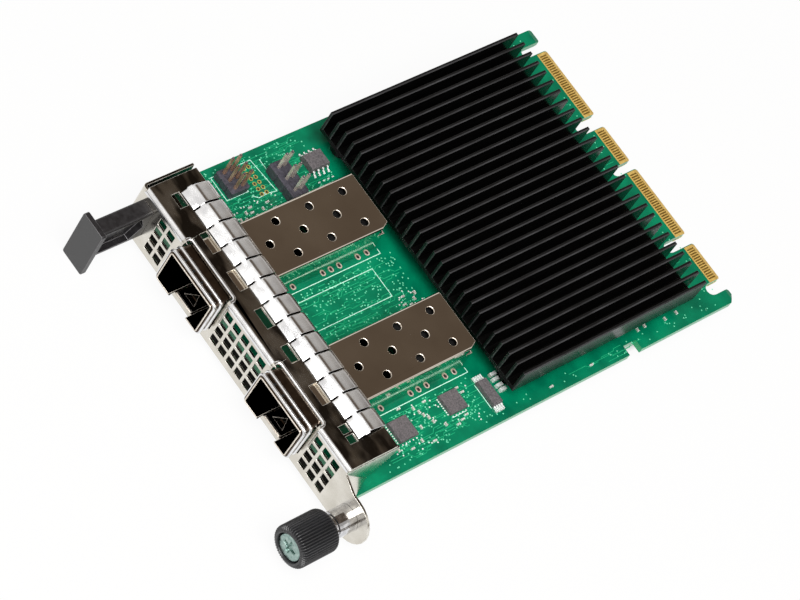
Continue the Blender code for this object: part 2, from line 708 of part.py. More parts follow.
def cage_cuts(centre):
    """Everything cut through a cage's sheet: vents, latch, catch, connector foot and a back corner."""
    right = centre + CAGE_WIDTH / 2
    top = SEAT + CAGE_HEIGHT
    back = MOUTH_Y + CAGE_LENGTH
    cuts = []
    for offset, start in (
        (-VENT_ROW_OFFSET, VENT_SIDE_START),
        (0.0, VENT_MIDDLE_START),
        (VENT_ROW_OFFSET, VENT_SIDE_START),
    ):
        for index in range(VENTS_PER_ROW):
            place = (centre + offset, MOUTH_Y + start + index * VENT_PITCH)
            cuts.append(prism(circle(place, VENT_RADIUS, 16), top - 2 * CAGE_WALL, top + CAGE_WALL))
    # A notch in the floor's front edge opens into two slits, which free the latch tongue.
    floor = (SEAT - CAGE_WALL, SEAT + 2 * CAGE_WALL)
    tongue = centre + LATCH_OFFSET
    half = LATCH_WIDTH / 2
    start = MOUTH_Y + LATCH_SETBACK
    end = MOUTH_Y + LATCH_LENGTH
    wide = half + LATCH_SLIT
    latch = rectangle(-wide, wide, MOUTH_Y - CAGE_WALL, end)[:3]
    latch += [(half, end), (half, start), (-half, start), (-half, end), (-wide, end)]
    cuts.append(prism([(tongue + x, y) for x, y in latch], *floor))
    base = MOUTH_Y + CATCH_SETBACK
    catch = [
        (tongue - CATCH_SIZE[0] / 2, base),
        (tongue + CATCH_SIZE[0] / 2, base),
        (tongue, base + CATCH_SIZE[1]),
    ]
    cuts.append(prism(catch, *floor))
    socket_front = back - CAGE_WALL - CLEARANCE - SOCKET_LENGTH
    half = SOCKET_WIDTH / 2 + CLEARANCE
    cuts.append(
        box((centre - half, socket_front - CLEARANCE, floor[0]), (centre + half, back - CAGE_WALL, floor[1]))
    )
    across, along, deep = CAGE_BACK_CUT
    over = CAGE_WALL * across / along
    corner = [
        (right - across - over, back + CAGE_WALL),
        (right + CAGE_WALL, back + CAGE_WALL),
        (right + CAGE_WALL, back - along - CAGE_WALL * along / across),
    ]
    cuts.append(prism(corner, top - deep, top + CAGE_WALL))
    return cuts


def make_cage(number, centre, finish):
    """A module cage: a folded box, open at the mouth and over the connector's foot."""
    left = centre - CAGE_WIDTH / 2
    right = centre + CAGE_WIDTH / 2
    top = SEAT + CAGE_HEIGHT
    back = MOUTH_Y + CAGE_LENGTH
    outer = rounded(left, right, SEAT, top, CAGE_CORNER)
    cage = add_object(f"port_{number}_cage", prism(outer, MOUTH_Y, back, "Y"), finish)
    inner = rounded(
        left + CAGE_WALL, right - CAGE_WALL, SEAT + CAGE_WALL, top - CAGE_WALL, CAGE_CORNER - CAGE_WALL
    )
    combine(cage, "DIFFERENCE", "cavity", prism(inner, MOUTH_Y - CAGE_WALL, back - CAGE_WALL, "Y"))
    combine(cage, "DIFFERENCE", "holes", merged(*cage_cuts(centre)))
    width, depth, height = LATCH_LIP
    middle = centre + LATCH_OFFSET
    front = MOUTH_Y + LATCH_SETBACK + SEAT
    lip = box((middle - width / 2, front, SEAT + CAGE_WALL / 2), (middle + width / 2, front + depth, height))
    combine(cage, "UNION", "lip", lip)


def make_collar(number, centre, finish):
    """A sprung sleeve round the cage behind its mouth: two beads, a band with holes, a plain end."""

    def ring(offset, y):
        reach = CAGE_WIDTH / 2 + SEAT + offset
        high = 2 * SEAT + CAGE_HEIGHT + offset
        outline = rounded(centre - reach, centre + reach, -offset, high, CAGE_CORNER + offset, 2)
        return [(x, y, z) for x, z in outline]

    outer = [ring(COLLAR_WALL + bulge, MOUTH_Y + depth) for depth, bulge in COLLAR_PROFILE]
    inner = [ring(bulge, MOUTH_Y + depth) for depth, bulge in reversed(COLLAR_PROFILE)]
    collar = add_object(f"port_{number}_collar", loft(outer + inner, closed=True), finish)
    half = COLLAR_HOLE / 2
    y = MOUTH_Y + COLLAR_HOLE_SETBACK
    holes = []
    for offset in COLLAR_HOLE_OFFSETS:
        low_corner = (centre + offset - half, y - half, CAGE_HEIGHT - COLLAR_WALL)
        holes.append(box(low_corner, (centre + offset + half, y + half, CAGE_HEIGHT + CUT_MARGIN)))
    side = CAGE_WIDTH / 2 - COLLAR_WALL
    for z in COLLAR_HOLE_HEIGHTS:
        low_corner = (centre + side, y - half, z - half)
        holes.append(box(low_corner, (centre + side + CUT_MARGIN, y + half, z + half)))
    combine(collar, "DIFFERENCE", "holes", merged(*holes))


def make_socket(number, centre, finish):
    """The connector that a plugged module meets, soldered to the board inside the cage."""
    back = MOUTH_Y + CAGE_LENGTH - CAGE_WALL - CLEARANCE
    front = back - SOCKET_LENGTH
    half = SOCKET_WIDTH / 2
    outline = [
        (front + SOCKET_STEP, SEAT),
        (back, SEAT),
        (back, SOCKET_HEIGHT),
        (front + SOCKET_NOSE, SOCKET_HEIGHT),
        (front, SOCKET_HEIGHT - SOCKET_NOSE),
        (front, SEAT + SOCKET_STEP),
        (front + SOCKET_STEP, SEAT + SOCKET_STEP),
    ]
    socket = add_object(f"port_{number}_connector", prism(outline, centre - half, centre + half, "X"), finish)
    middle = (SOCKET_HEIGHT + SOCKET_STEP) / 2
    slot_half = half - SOCKET_SLOT_INSET
    slot = box(
        (centre - slot_half, front - CLEARANCE, middle - SOCKET_SLOT_HEIGHT / 2),
        (centre + slot_half, front + SOCKET_SLOT_DEPTH, middle + SOCKET_SLOT_HEIGHT / 2),
    )
    combine(socket, "DIFFERENCE", "slot", slot)


def make_ports():
    cage_finish = material("cage_nickel", (0.36, 0.32, 0.28), 0.32, 1.0)
    collar_finish = material("collar_steel", (0.50, 0.48, 0.45), 0.25, 1.0)
    plastic = material("connector_plastic", (0.012, 0.012, 0.013), 0.45)
    for number, centre in enumerate(PORT_CENTRES, start=1):
        make_cage(number, centre, cage_finish)
        make_collar(number, centre, collar_finish)
        make_socket(number, centre, plastic)


def comb_outline():
    """The heatsink's section: a base plate with fins, counter-clockwise from its lower left."""
    top = SINK_BASE_TOP + FIN_HEIGHT
    outline = [(-SINK_HALF, SINK_STANDOFF), (SINK_HALF, SINK_STANDOFF)]
    for index in reversed(range(FIN_COUNT)):
        right = -SINK_HALF + FIN_THICKNESS + index * FIN_PITCH
        left = right - FIN_THICKNESS
        if index < FIN_COUNT - 1:
            outline.append((right, SINK_BASE_TOP))
        outline += [(right, top), (left, top)]
        if index > 0:
            outline.append((left, SINK_BASE_TOP))
    return outline


def make_heatsink():
    finish = material("heatsink_black", (0.008, 0.008, 0.009), 0.42, 0.6)
    sink = add_object("heatsink", prism(comb_outline(), SINK_FRONT_Y, SINK_BACK_Y, "Y"), finish)
    chip_y = (SINK_FRONT_Y + SINK_BACK_Y) / 2
    half = CHIP_LID_SIDE / 2
    land_low = SEAT + CHIP_HEIGHT + SEAT + PAD_THICKNESS + SEAT
    posts = [prism(circle(place, SINK_POST_RADIUS, 16), SEAT, SINK_BASE_TOP - SEAT) for place in SINK_SCREWS]
    land = box((-half, chip_y - half, land_low), (half, chip_y + half, SINK_BASE_TOP - SEAT))
    combine(sink, "UNION", "posts_and_land", merged(*posts, land))
    bores = [prism(circle(place, SCREW_HOLE_RADIUS, 12), -SEAT, SINK_STANDOFF) for place in SINK_SCREWS]
    combine(sink, "DIFFERENCE", "bores", merged(*bores))


def make_controller():
    """The controller chip under the heatsink, and the soft pad between them."""
    chip_y = (SINK_FRONT_Y + SINK_BACK_Y) / 2
    half = CHIP_SIDE / 2
    lid_half = CHIP_LID_SIDE / 2
    lid_low = SEAT + CHIP_HEIGHT - CHIP_LID_HEIGHT
    ceramic = material("chip_substrate", (0.015, 0.050, 0.030), 0.5)
    chip = add_object("controller_chip", box((-half, chip_y - half, SEAT), (half, chip_y + half, lid_low)), ceramic)
    lid = box((-lid_half, chip_y - lid_half, lid_low - SEAT), (lid_half, chip_y + lid_half, SEAT + CHIP_HEIGHT))
    combine(chip, "UNION", "lid", lid)
    low = SEAT + CHIP_HEIGHT + SEAT
    rubber = material("pad_grey", (0.28, 0.30, 0.33), 0.9)
    edge = lid_half - PAD_INSET
    add_object("thermal_pad", box((-edge, chip_y - edge, low), (edge, chip_y + edge, low + PAD_THICKNESS)), rubber)


def screw_shape(shank):
    """A pan-head screw with a cross recess, its shank pointing up from the head's bearing face."""
    chamfer = 0.25 * SCREW_RADIUS
    return turned(
        [
            (0.0, -SCREW_HEAD_HEIGHT + SCREW_RECESS),
            (SCREW_RECESS, -SCREW_HEAD_HEIGHT),
            (0.75 * SCREW_HEAD_RADIUS, -SCREW_HEAD_HEIGHT),
            (SCREW_HEAD_RADIUS, -0.5 * SCREW_HEAD_HEIGHT),
            (SCREW_HEAD_RADIUS, 0.0),
            (SCREW_RADIUS, 0.0),
            (SCREW_RADIUS, shank - chamfer),
            (SCREW_RADIUS - chamfer, shank),
            (0.0, shank),
        ],
        16,
    )


def make_board_screws():
    finish = material("screw_zinc", (0.55, 0.56, 0.57), 0.3, 1.0)
    groups = (
        ("heatsink_screw", SINK_SCREWS, BOARD_THICKNESS + SINK_STANDOFF - 4 * SEAT),
        ("faceplate_screw", FOOT_SCREWS, BOARD_THICKNESS + 3 * SHEET),
    )
    for name, places, shank in groups:
        for number, place in enumerate(places, start=1):
            screw = add_object(f"{name}_{number}", screw_shape(shank), finish, smooth=True)
            screw.location = (place[0], place[1], BOARD_BOTTOM - SEAT)


def make_pull_tab():
    """A moulded tab: a body with a pocket in its right side, and an end plate to pull on."""
    finish = material("tab_plastic", (0.028, 0.024, 0.024), 0.45)
    root = FACE_Y - SEAT
    end_back = TAB_FRONT_Y + TAB_END_THICKNESS
    right = TAB_X + TAB_WIDTH / 2
    low = TAB_Z - TAB_HEIGHT / 2
    high = TAB_Z + TAB_HEIGHT / 2
    body = rounded(TAB_X - TAB_WIDTH / 2, right, low, high, TAB_CORNER, 2)
    tab = add_object("pull_tab", prism(body, end_back - SLIP, root, "Y"), finish)
    ends = [PLATE_LEFT + side for side in TAB_END_SIDES]
    end = rounded(*ends, TAB_END_BOTTOM, TAB_END_TOP, TAB_END_CORNER, 3)
    combine(tab, "UNION", "end_plate", prism(end, TAB_FRONT_Y, end_back, "Y"))
    bottom_back, middle_back, top_back = (root - setback for setback in TAB_POCKET_SETBACKS)
    pocket = [
        (end_back + TAB_POCKET_RIM, low + TAB_POCKET_RIM),
        (bottom_back, low + TAB_POCKET_RIM),
        (middle_back, (low + high) / 2),
        (top_back, high - TAB_POCKET_RIM),
        (end_back + TAB_POCKET_RIM, high - TAB_POCKET_RIM),
    ]
    combine(tab, "DIFFERENCE", "pocket", prism(pocket, right - TAB_POCKET_DEPTH, right + CUT_MARGIN, "X"))
    barb = PLATE_BACK_Y + SLIP
    sections = ((0.0, root - SHEET), (0.0, barb), (TAB_BARB, barb + SLIP), (-TAB_BARB, barb + TAB_BARB_LENGTH))
    stem = [[(x, y, z) for x, z in tab_stem_outline(rise=rise)] for rise, y in sections]
    combine(tab, "UNION", "stem", loft(stem))


def make_knob():
    """The ribbed knob: a front recess for the screw head, a web, and a cavity for the spring."""
    finish = material("knob_plastic", (0.030, 0.030, 0.031), 0.5)
    inner = KNOB_RADIUS - KNOB_RIB_DEPTH

    def ribbed(height, shrink=0.0):
        outline = []
        for index in range(KNOB_RIBS):
            for part, radius in ((0.0, KNOB_RADIUS), (0.35, KNOB_RADIUS), (0.6, inner), (0.75, inner)):
                turn = 2 * math.pi * (index + part) / KNOB_RIBS
                reach = min(radius, KNOB_RADIUS - shrink)
                outline.append((reach * math.cos(turn), reach * math.sin(turn), height))
        return outline

    rings = [
        ribbed(0.0, KNOB_CHAMFER),
        ribbed(KNOB_CHAMFER),
        ribbed(KNOB_LENGTH - KNOB_SHOULDER),
        ribbed(KNOB_LENGTH - KNOB_SHOULDER / 3, KNOB_SHOULDER / 3),
        ribbed(KNOB_LENGTH, KNOB_SHOULDER),
    ]
    knob = add_object("thumbscrew_knob", loft(rings), finish, smooth=True)
    on_y_axis(knob, EAR_X, KNOB_FRONT_Y, EAR_Z)
    recess = WEB_FRONT_Y - KNOB_FRONT_Y
    recess_radius = STUD_HEAD_RADIUS + KNOB_RECESS_GAP
    bore_radius = STUD_RADIUS + SLIP
    cavity = FERRULE_RADIUS + SLIP
    bore = turned(
        [
            (0.0, -KNOB_CHAMFER),
            (recess_radius + KNOB_CHAMFER, -KNOB_CHAMFER),
            (recess_radius, KNOB_CHAMFER / 2),
            (recess_radius, recess),
            (bore_radius, recess),
            (bore_radius, recess + KNOB_WEB),
            (cavity, recess + KNOB_WEB),
            (cavity, KNOB_LENGTH + KNOB_CHAMFER),
            (0.0, KNOB_LENGTH + KNOB_CHAMFER),
        ],
        24,
    )
    on_y_axis(combine(knob, "DIFFERENCE", "bore", bore), EAR_X, KNOB_FRONT_Y, EAR_Z)


def make_ferrule():
    """The plated sleeve pressed into the ear, which the knob slides over."""
    finish = material("ferrule_chrome", (0.75, 0.75, 0.76), 0.12, 1.0)
    sleeve_front = KNOB_BACK_Y - FERRULE_OVERLAP
    length = FACE_Y - SEAT - sleeve_front
    bore = FERRULE_RADIUS - FERRULE_WALL
    passage = STUD_RADIUS + SLIP
    insert_end = length + FERRULE_INSERT
    neck_end = FERRULE_OVERLAP + FERRULE_NECK_LENGTH
    profile = [
        (bore, 0.0),
        (FERRULE_NECK_RADIUS - FERRULE_EDGE, 0.0),
        (FERRULE_NECK_RADIUS, FERRULE_EDGE),
        (FERRULE_NECK_RADIUS, neck_end),
        (FERRULE_RADIUS, neck_end + FERRULE_EDGE),
        (FERRULE_RADIUS, length),
        (bore, length),
        (bore, insert_end),
        (passage, insert_end),
        (passage, length - FERRULE_SHOULDER),
        (bore, length - FERRULE_SHOULDER),
    ]
    ferrule = add_object("thumbscrew_ferrule", turned(profile, 32), finish, smooth=True)
    on_y_axis(ferrule, EAR_X, sleeve_front, EAR_Z)


def make_stud():
    """The captive screw: a head with a cross recess, and a shank that the knob carries."""
    finish = material("stud_zinc", (0.50, 0.56, 0.54), 0.3, 1.0)
    tip = FACE_Y + STUD_TIP - WEB_FRONT_Y
    run, fall = STUD_TIP_CHAMFER
    shape = turned(
        [
            (0.0, -STUD_HEAD_HEIGHT),
            (STUD_HEAD_RADIUS - STUD_HEAD_EDGE, -STUD_HEAD_HEIGHT),
            (STUD_HEAD_RADIUS, -STUD_HEAD_HEIGHT + STUD_HEAD_EDGE),
            (STUD_HEAD_RADIUS, -SEAT),
            (STUD_RADIUS, -SEAT),
            (STUD_RADIUS, tip - run),
            (STUD_RADIUS - fall, tip),
            (0.0, tip),
        ],
        24,
    )
    stud = add_object("thumbscrew_stud", shape, finish, smooth=True)
    on_y_axis(stud, EAR_X, WEB_FRONT_Y, EAR_Z)
    reach, arm, depth = STUD_CROSS
    low = -STUD_HEAD_HEIGHT - STUD_HEAD_EDGE
    for name, half_x, half_y in (("cross_slot_1", reach, arm), ("cross_slot_2", arm, reach)):
        slot = box((-half_x, -half_y, low), (half_x, half_y, -STUD_HEAD_HEIGHT + depth))
        on_y_axis(combine(stud, "DIFFERENCE", name, slot), EAR_X, WEB_FRONT_Y, EAR_Z)


def make_spring():
    """The return spring between the knob's web and the ferrule's shoulder, at its pressed length."""
    curve = bpy.data.curves.new("thumbscrew_spring", "CURVE")
    curve.dimensions = "3D"
    curve.bevel_depth = SPRING_WIRE
    curve.bevel_resolution = 1
    curve.use_fill_caps = True
    curve.materials.append(material("spring_wire", (0.45, 0.45, 0.46), 0.3, 1.0))
    shoulder_y = FACE_Y - SEAT - FERRULE_SHOULDER
    length = shoulder_y - (WEB_BACK_Y + PRESS_TRAVEL) - 2 * SLIP - 2 * SPRING_WIRE
    radius = (STUD_RADIUS + FERRULE_RADIUS - FERRULE_WALL) / 2
    count = SPRING_STEPS * SPRING_TURNS
    spline = curve.splines.new("POLY")
    spline.points.add(count)
    for index, point in enumerate(spline.points):
        turn = 2 * math.pi * index / SPRING_STEPS
        point.co = (radius * math.cos(turn), radius * math.sin(turn), length * index / count, 1.0)
    spring = bpy.data.objects.new("thumbscrew_spring", curve)
    bpy.context.scene.collection.objects.link(spring)
    spring.parent = CARD_FRAME
    on_y_axis(spring, EAR_X, WEB_BACK_Y + SLIP + SPRING_WIRE, EAR_Z)


def make_header(name, corner, size, columns, pitch, finish):
    """A pin header: a moulded base with a nick between positions, and two rows of square pins."""
    left, front = corner
    width, depth, height = size
    cell = width / columns
    nick = HEADER_NICK
    outline = []
    for column in range(columns):
        start = left + column * cell
        outline += [(start + nick, front), (start + cell - nick, front), (start + cell, front + nick)]
    for column in reversed(range(columns)):
        start = left + column * cell
        outline += [(start + cell, front + depth - nick), (start + cell - nick, front + depth)]
        outline.append((start + nick, front + depth))
    outline += [(left, front + depth - nick), (left, front + nick)]
    base = add_object(name, prism(outline, SEAT, height), finish)
    half = PIN_SIDE / 2
    middle = front + depth / 2
    pins = []
    for column in range(columns):
        x = left + (column + 0.5) * cell
        for y in (middle - pitch / 2, middle + pitch / 2):
            pins.append(box((x - half, y - half, height / 2), (x + half, y + half, PIN_LENGTH)))
    combine(base, "UNION", "pins", merged(*pins))


def make_chip(name, corner, size, finish):
    """A moulded package, a little narrower at the top."""
    left, front = corner
    width, depth, height = size
    rings = []
    for inset, z in ((0.0, SEAT), (0.0, 0.5 * height), (MOULD_DRAFT, height)):
        outline = rectangle(left + inset, left + width - inset, front + inset, front + depth - inset)
        rings.append([(x, y, z) for x, y in outline])
    return add_object(name, loft(rings), finish)


def gull_leads(corner, size, pitch):
    """Rows of formed leads out of both sides of a package, side by side along Y."""
    width, depth, height = size
    middle_x = corner[0] + width / 2
    middle_y = corner[1] + depth / 2
    half = width / 2
    path = [(0.8 * half, 0.5 * height), (half + 0.35 * LEAD_REACH, 0.5 * height)]
    path += [(half + 0.55 * LEAD_REACH, SEAT + LEAD_THICKNESS), (half + LEAD_REACH, SEAT + LEAD_THICKNESS)]
    section = sheet_outline(path, LEAD_THICKNESS)
    leads = []
    for side in (-1, 1):
        outline = [(middle_x + side * x, z) for x, z in section]
        for index in range(LEADS_PER_SIDE):
            y = middle_y + (index - (LEADS_PER_SIDE - 1) / 2) * pitch
            leads.append(prism(outline, y - LEAD_WIDTH / 2, y + LEAD_WIDTH / 2, "Y"))
    return merged(*leads)


def between(share):
    """A place along Y, as a share of the way from the faceplate to the heatsink."""
    return FACE_Y + share * (SINK_FRONT_Y - FACE_Y)


def make_soldered_parts():
    black = material("header_black", (0.012, 0.012, 0.014), 0.5)
    epoxy = material("chip_epoxy", (0.055, 0.055, 0.055), 0.55)
    small = (BOARD_LEFT + SMALL_HEADER_X, between(SMALL_HEADER_SHARE))
    large = (BOARD_LEFT + LARGE_HEADER_X, between(LARGE_HEADER_SHARE))
    make_header("small_pin_header", small, SMALL_HEADER_SIZE, 3, SMALL_PIN_PITCH, black)
    make_header("large_pin_header", large, LARGE_HEADER_SIZE, 3, LARGE_PIN_PITCH, black)
    place = (BOARD_LEFT + MEMORY_X, SINK_FRONT_Y - MEMORY_TO_SINK)
    memory = make_chip("memory_chip", place, MEMORY_SIZE, epoxy)
    combine(memory, "UNION", "leads", gull_leads(place, MEMORY_SIZE, MEMORY_LEAD_PITCH))
    for number, (inset, share, size) in enumerate(zip(REGULATOR_XS, REGULATOR_SHARES, REGULATOR_SIZES), start=1):
        make_chip(f"regulator_chip_{number}", (BOARD_RIGHT - inset, between(share)), size, epoxy)
    place = (BOARD_RIGHT - CLOCK_X, SINK_FRONT_Y - CLOCK_TO_SINK)
    clock = make_chip("clock_chip", place, CLOCK_SIZE, epoxy)
    combine(clock, "UNION", "leads", gull_leads(place, CLOCK_SIZE, CLOCK_LEAD_PITCH))
    ceramic = material("capacitor_ceramic", (0.55, 0.50, 0.42), 0.5)
    width, depth, height = CAPACITOR_SIZE
    for number, (inset, past) in enumerate(zip(CAPACITOR_XS, CAPACITORS_PAST_SINK), start=1):
        x = BOARD_RIGHT - inset
        y = SINK_FRONT_Y + past
        shape = box((x - width / 2, y - depth / 2, SEAT), (x + width / 2, y + depth / 2, height))
        add_object(f"capacitor_{number}", shape, ceramic)


def add_card_frame():
    """The empty that carries every piece, with the origin under the middle of the card."""
    frame = bpy.data.objects.new("card_frame", None)
    bpy.context.scene.collection.objects.link(frame)
    low = (BOARD_LEFT, KNOB_FRONT_Y, TAB_END_BOTTOM)
    high = (EAR_X + EAR_RADIUS, TIP_Y)
    frame.location = (-(low[0] + high[0]) / 2, -(low[1] + high[1]) / 2, -low[2])
    return frame


clear_scene()
CARD_FRAME = add_card_frame()
make_board()
make_faceplate()
make_finger_strip()
make_ports()
make_heatsink()
make_controller()
make_board_screws()
make_pull_tab()
make_knob()
make_ferrule()
make_stud()
make_spring()
make_soldered_parts()
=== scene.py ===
# %% [markdown]
# # Dressing a mezzanine network card
#
# The card's solids come ready made, in one fixed frame: metres, +Z up from the board's component
# side, +Y towards the gold card edge. This notebook gives each of them the finish of the real
# thing and adds what is too small or too soft-edged for the solids: solder mask and copper, silk
# lines, gold contacts, leads, spring fingers, ribs and folded edges.

import json

import bmesh
import bpy
import numpy as np
from mathutils import Matrix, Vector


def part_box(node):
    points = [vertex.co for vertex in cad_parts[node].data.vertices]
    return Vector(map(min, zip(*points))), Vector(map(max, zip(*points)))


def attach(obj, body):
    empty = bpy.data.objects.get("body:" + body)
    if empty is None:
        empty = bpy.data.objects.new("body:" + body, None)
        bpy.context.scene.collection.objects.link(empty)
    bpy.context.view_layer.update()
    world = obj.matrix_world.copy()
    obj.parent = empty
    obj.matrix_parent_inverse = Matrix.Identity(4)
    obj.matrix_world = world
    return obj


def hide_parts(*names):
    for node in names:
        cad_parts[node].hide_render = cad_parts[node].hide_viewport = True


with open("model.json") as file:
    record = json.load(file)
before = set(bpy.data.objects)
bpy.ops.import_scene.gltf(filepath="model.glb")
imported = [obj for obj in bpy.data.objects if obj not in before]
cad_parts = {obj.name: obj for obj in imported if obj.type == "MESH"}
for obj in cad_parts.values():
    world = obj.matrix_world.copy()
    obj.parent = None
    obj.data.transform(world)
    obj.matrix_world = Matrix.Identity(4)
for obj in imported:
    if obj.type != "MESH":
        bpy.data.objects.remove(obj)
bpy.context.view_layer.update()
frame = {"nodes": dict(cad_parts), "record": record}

# %% [markdown]
# The board itself is the natural ruler. Its own frame has X = 0 on its centre line, Y = 57.5 at the
# tip of the gold edge, and Z = 0 on its top face. All the lengths below are millimetres in that
# frame, and `place` turns them into metres in the scene. The two cages' centre lines are kept here
# too, since many pieces line up with them.

# %% The board's own frame
MM = 0.001
TIP_Y = 57.5
BOARD_THICKNESS = 1.57
PORTS = (-14.0, 17.09)
board_low, board_high = (np.array(corner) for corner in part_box("circuit_board"))
BOARD_ORIGIN = np.array([
    (board_low[0] + board_high[0]) / 2,
    board_high[1] - TIP_Y * MM,
    board_high[2],
])


def place(points):
    """Metres in the scene of points in board millimetres: scaled, then moved to the board."""
    return np.asarray(points, float) * MM + BOARD_ORIGIN


def board_box(node):
    """A solid's lowest and highest corner in board millimetres: moved back, then scaled."""
    return tuple((np.array(corner) - BOARD_ORIGIN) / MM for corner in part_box(node))


print("board origin:", BOARD_ORIGIN)

# %% [markdown]
# ## Tools for surfaces
#
# Every new piece is an array of points and an array of faces. A grid is the workhorse: rows of
# points along one parameter, columns along the other, and quads between neighbours. Small parts
# that repeat are one shape copied to many places in a single sum of arrays.

# %% Surfaces from arrays
SHARP_TURN = 40


def grid_faces(rows, columns, wrap_rows=False, wrap_columns=False):
    """Quads between neighbours of a grid numbered row by row; a wrapped side joins its far end."""
    row = np.arange(rows if wrap_rows else rows - 1)[:, None]
    column = np.arange(columns if wrap_columns else columns - 1)[None, :]
    next_row = (row + 1) % rows
    next_column = (column + 1) % columns
    corners = ((row, column), (row, next_column), (next_row, next_column), (next_row, column))
    return np.stack([down * columns + across for down, across in corners], -1).reshape(-1, 4)


def joined(*shapes):
    """Several (points, faces) as one: each shape's face numbers are raised by the points before it."""
    points = np.concatenate([np.asarray(shape[0], float) for shape in shapes])
    starts = np.cumsum([0] + [len(shape[0]) for shape in shapes[:-1]])
    faces = [[start + np.asarray(face) for face in shape[1]] for start, shape in zip(starts, shapes)]
    return points, [face for group in faces for face in group]


def copies(shape, spots, height=0.0):
    """A (points, faces) shape moved to each of many (x, y) spots at a height, as one shape."""
    points, faces = np.asarray(shape[0], float), np.asarray(shape[1])
    moved = points[None] + np.insert(np.asarray(spots, float), 2, height, axis=1)[:, None]
    raised = faces[None] + (np.arange(len(spots)) * len(points))[:, None, None]
    return moved.reshape(-1, 3), raised.reshape(-1, faces.shape[1])


def linked(name, data):
    """An object with its data, linked to the scene."""
    made = bpy.data.objects.new(name, data)
    bpy.context.scene.collection.objects.link(made)
    return made


def add_piece(name, shape, finish, body="card", smooth=False):
    """A mesh object at the scene's origin, from board millimetres, that rides on a body."""
    points, faces = shape
    mesh = bpy.data.meshes.new(name)
    mesh.from_pydata(place(points).tolist(), [], [list(map(int, face)) for face in faces])
    mesh.validate()
    if smooth:
        mesh.shade_smooth()
        mesh.set_sharp_from_angle(angle=np.radians(SHARP_TURN))
    mesh.materials.append(finish)
    piece = linked(name, mesh)
    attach(piece, body)
    print(f"{name}: {len(mesh.polygons)} faces")
    return piece


def block(low, high, inset=0.0):
    """A box from its two corners, with no bottom face and its top drawn in by an inset."""
    (x0, y0, z0), (x1, y1, z1) = low, high
    points = [
        (x0, y0, z0), (x1, y0, z0), (x1, y1, z0), (x0, y1, z0),
        (x0 + inset, y0 + inset, z1), (x1 - inset, y0 + inset, z1),
        (x1 - inset, y1 - inset, z1), (x0 + inset, y1 - inset, z1),
    ]
    faces = [(0, 1, 5, 4), (1, 2, 6, 5), (2, 3, 7, 6), (3, 0, 4, 7), (4, 5, 6, 7)]
    return points, faces


def circle(radius, height, sides):
    """Points evenly round the upright axis, at a radius and a height."""
    turn = np.arange(sides) * 2 * np.pi / sides
    return np.stack([radius * np.cos(turn), radius * np.sin(turn), np.full(sides, height)], -1)


def turned(profile, sides):
    """A profile of (radius, height) carried round the upright axis, row by row."""
    points = np.concatenate([circle(radius, height, sides) for radius, height in profile])
    return points, grid_faces(len(profile), sides, wrap_columns=True)


def disc(radius, height, sides):
    """A flat round plate at a height, as one face."""
    return circle(radius, height, sides), [np.arange(sides)]


def ribbon(path, width, height):
    """A flat strip along a path of (x, y) points: each point moved half the width to both sides.

    At a corner the move is along the mean of the two sides' normals, stretched so that the strip
    keeps its width.
    """
    path = np.asarray(path, float)
    step = np.diff(path, axis=0)
    step /= np.linalg.norm(step, axis=1, keepdims=True)
    normal = np.stack([-step[:, 1], step[:, 0]], -1)
    before = np.concatenate([normal[:1], normal])
    after = np.concatenate([normal, normal[-1:]])
    mean = before + after
    mean /= np.linalg.norm(mean, axis=1, keepdims=True)
    reach = mean * (width / 2) / np.maximum((mean * after).sum(1), 0.4)[:, None]
    flat = np.stack([path - reach, path + reach], 1).reshape(-1, 2)
    points = np.concatenate([flat, np.full((len(flat), 1), height)], 1)
    return points, grid_faces(len(path), 2)[:, ::-1]


# %% [markdown]
# ## Tools for finishes
#
# A finish starts from the real material: its usual index of refraction, metallic value and
# roughness, and a colour as a hex value. One function turns the hex value to linear light, and one
# adds a node with its settings and links. A number that is the same all over the surface goes
# straight on the shader's socket, and nodes carry only what varies.

# %% Colours and nodes
NOISE_MIDDLE = (0.3, 0.7)


def hex_colour(code):
    """Linear red, green, blue and alpha of an sRGB hex value, by the sRGB curve."""
    channels = np.array([int(code[i:i + 2], 16) for i in (1, 3, 5)]) / 255
    linear = np.where(channels <= 0.04045, channels / 12.92, ((channels + 0.055) / 1.055) ** 2.4)
    return (*linear.tolist(), 1.0)


def add_node(tree, kind, inputs=None, **settings):
    """One node with its settings, its inputs' values and its links from other nodes' outputs."""
    made = tree.nodes.new(kind)
    for name, value in settings.items():
        setattr(made, name, value)
    for name, value in (inputs or {}).items():
        if isinstance(value, bpy.types.NodeSocket):
            tree.links.new(value, made.inputs[name])
        else:
            made.inputs[name].default_value = value
    return made


def computed(tree, operation, first, second=0.0):
    """The result of one calculation on two values."""
    return add_node(tree, "ShaderNodeMath", {0: first, 1: second}, operation=operation).outputs[0]


def ramp(tree, value, start, end, low=0.0, high=1.0):
    """A value's place between a start and an end, as a number from low to high."""
    bounds = {"From Min": start, "From Max": end, "To Min": low, "To Max": high}
    return add_node(tree, "ShaderNodeMapRange", {"Value": value, **bounds}).outputs[0]


def mixed(tree, share, first, second):
    """Two colours mixed by the share of the second."""
    return add_node(tree, "ShaderNodeMix", {0: share, 6: first, 7: second}, data_type="RGBA").outputs[2]


def uprightness(tree):
    """The Z part of the surface's normal: 1 where it looks straight up."""
    normal = add_node(tree, "ShaderNodeNewGeometry").outputs["Normal"]
    return add_node(tree, "ShaderNodeSeparateXYZ", {0: normal}).outputs["Z"]


def new_finish(name, inputs):
    """A material named for the real one, with its Principled shader's plain values."""
    made = bpy.data.materials.new(name)
    made.use_nodes = True
    shader = made.node_tree.nodes["Principled BSDF"]
    for socket, value in inputs.items():
        shader.inputs[socket].default_value = value
    return made, made.node_tree, shader


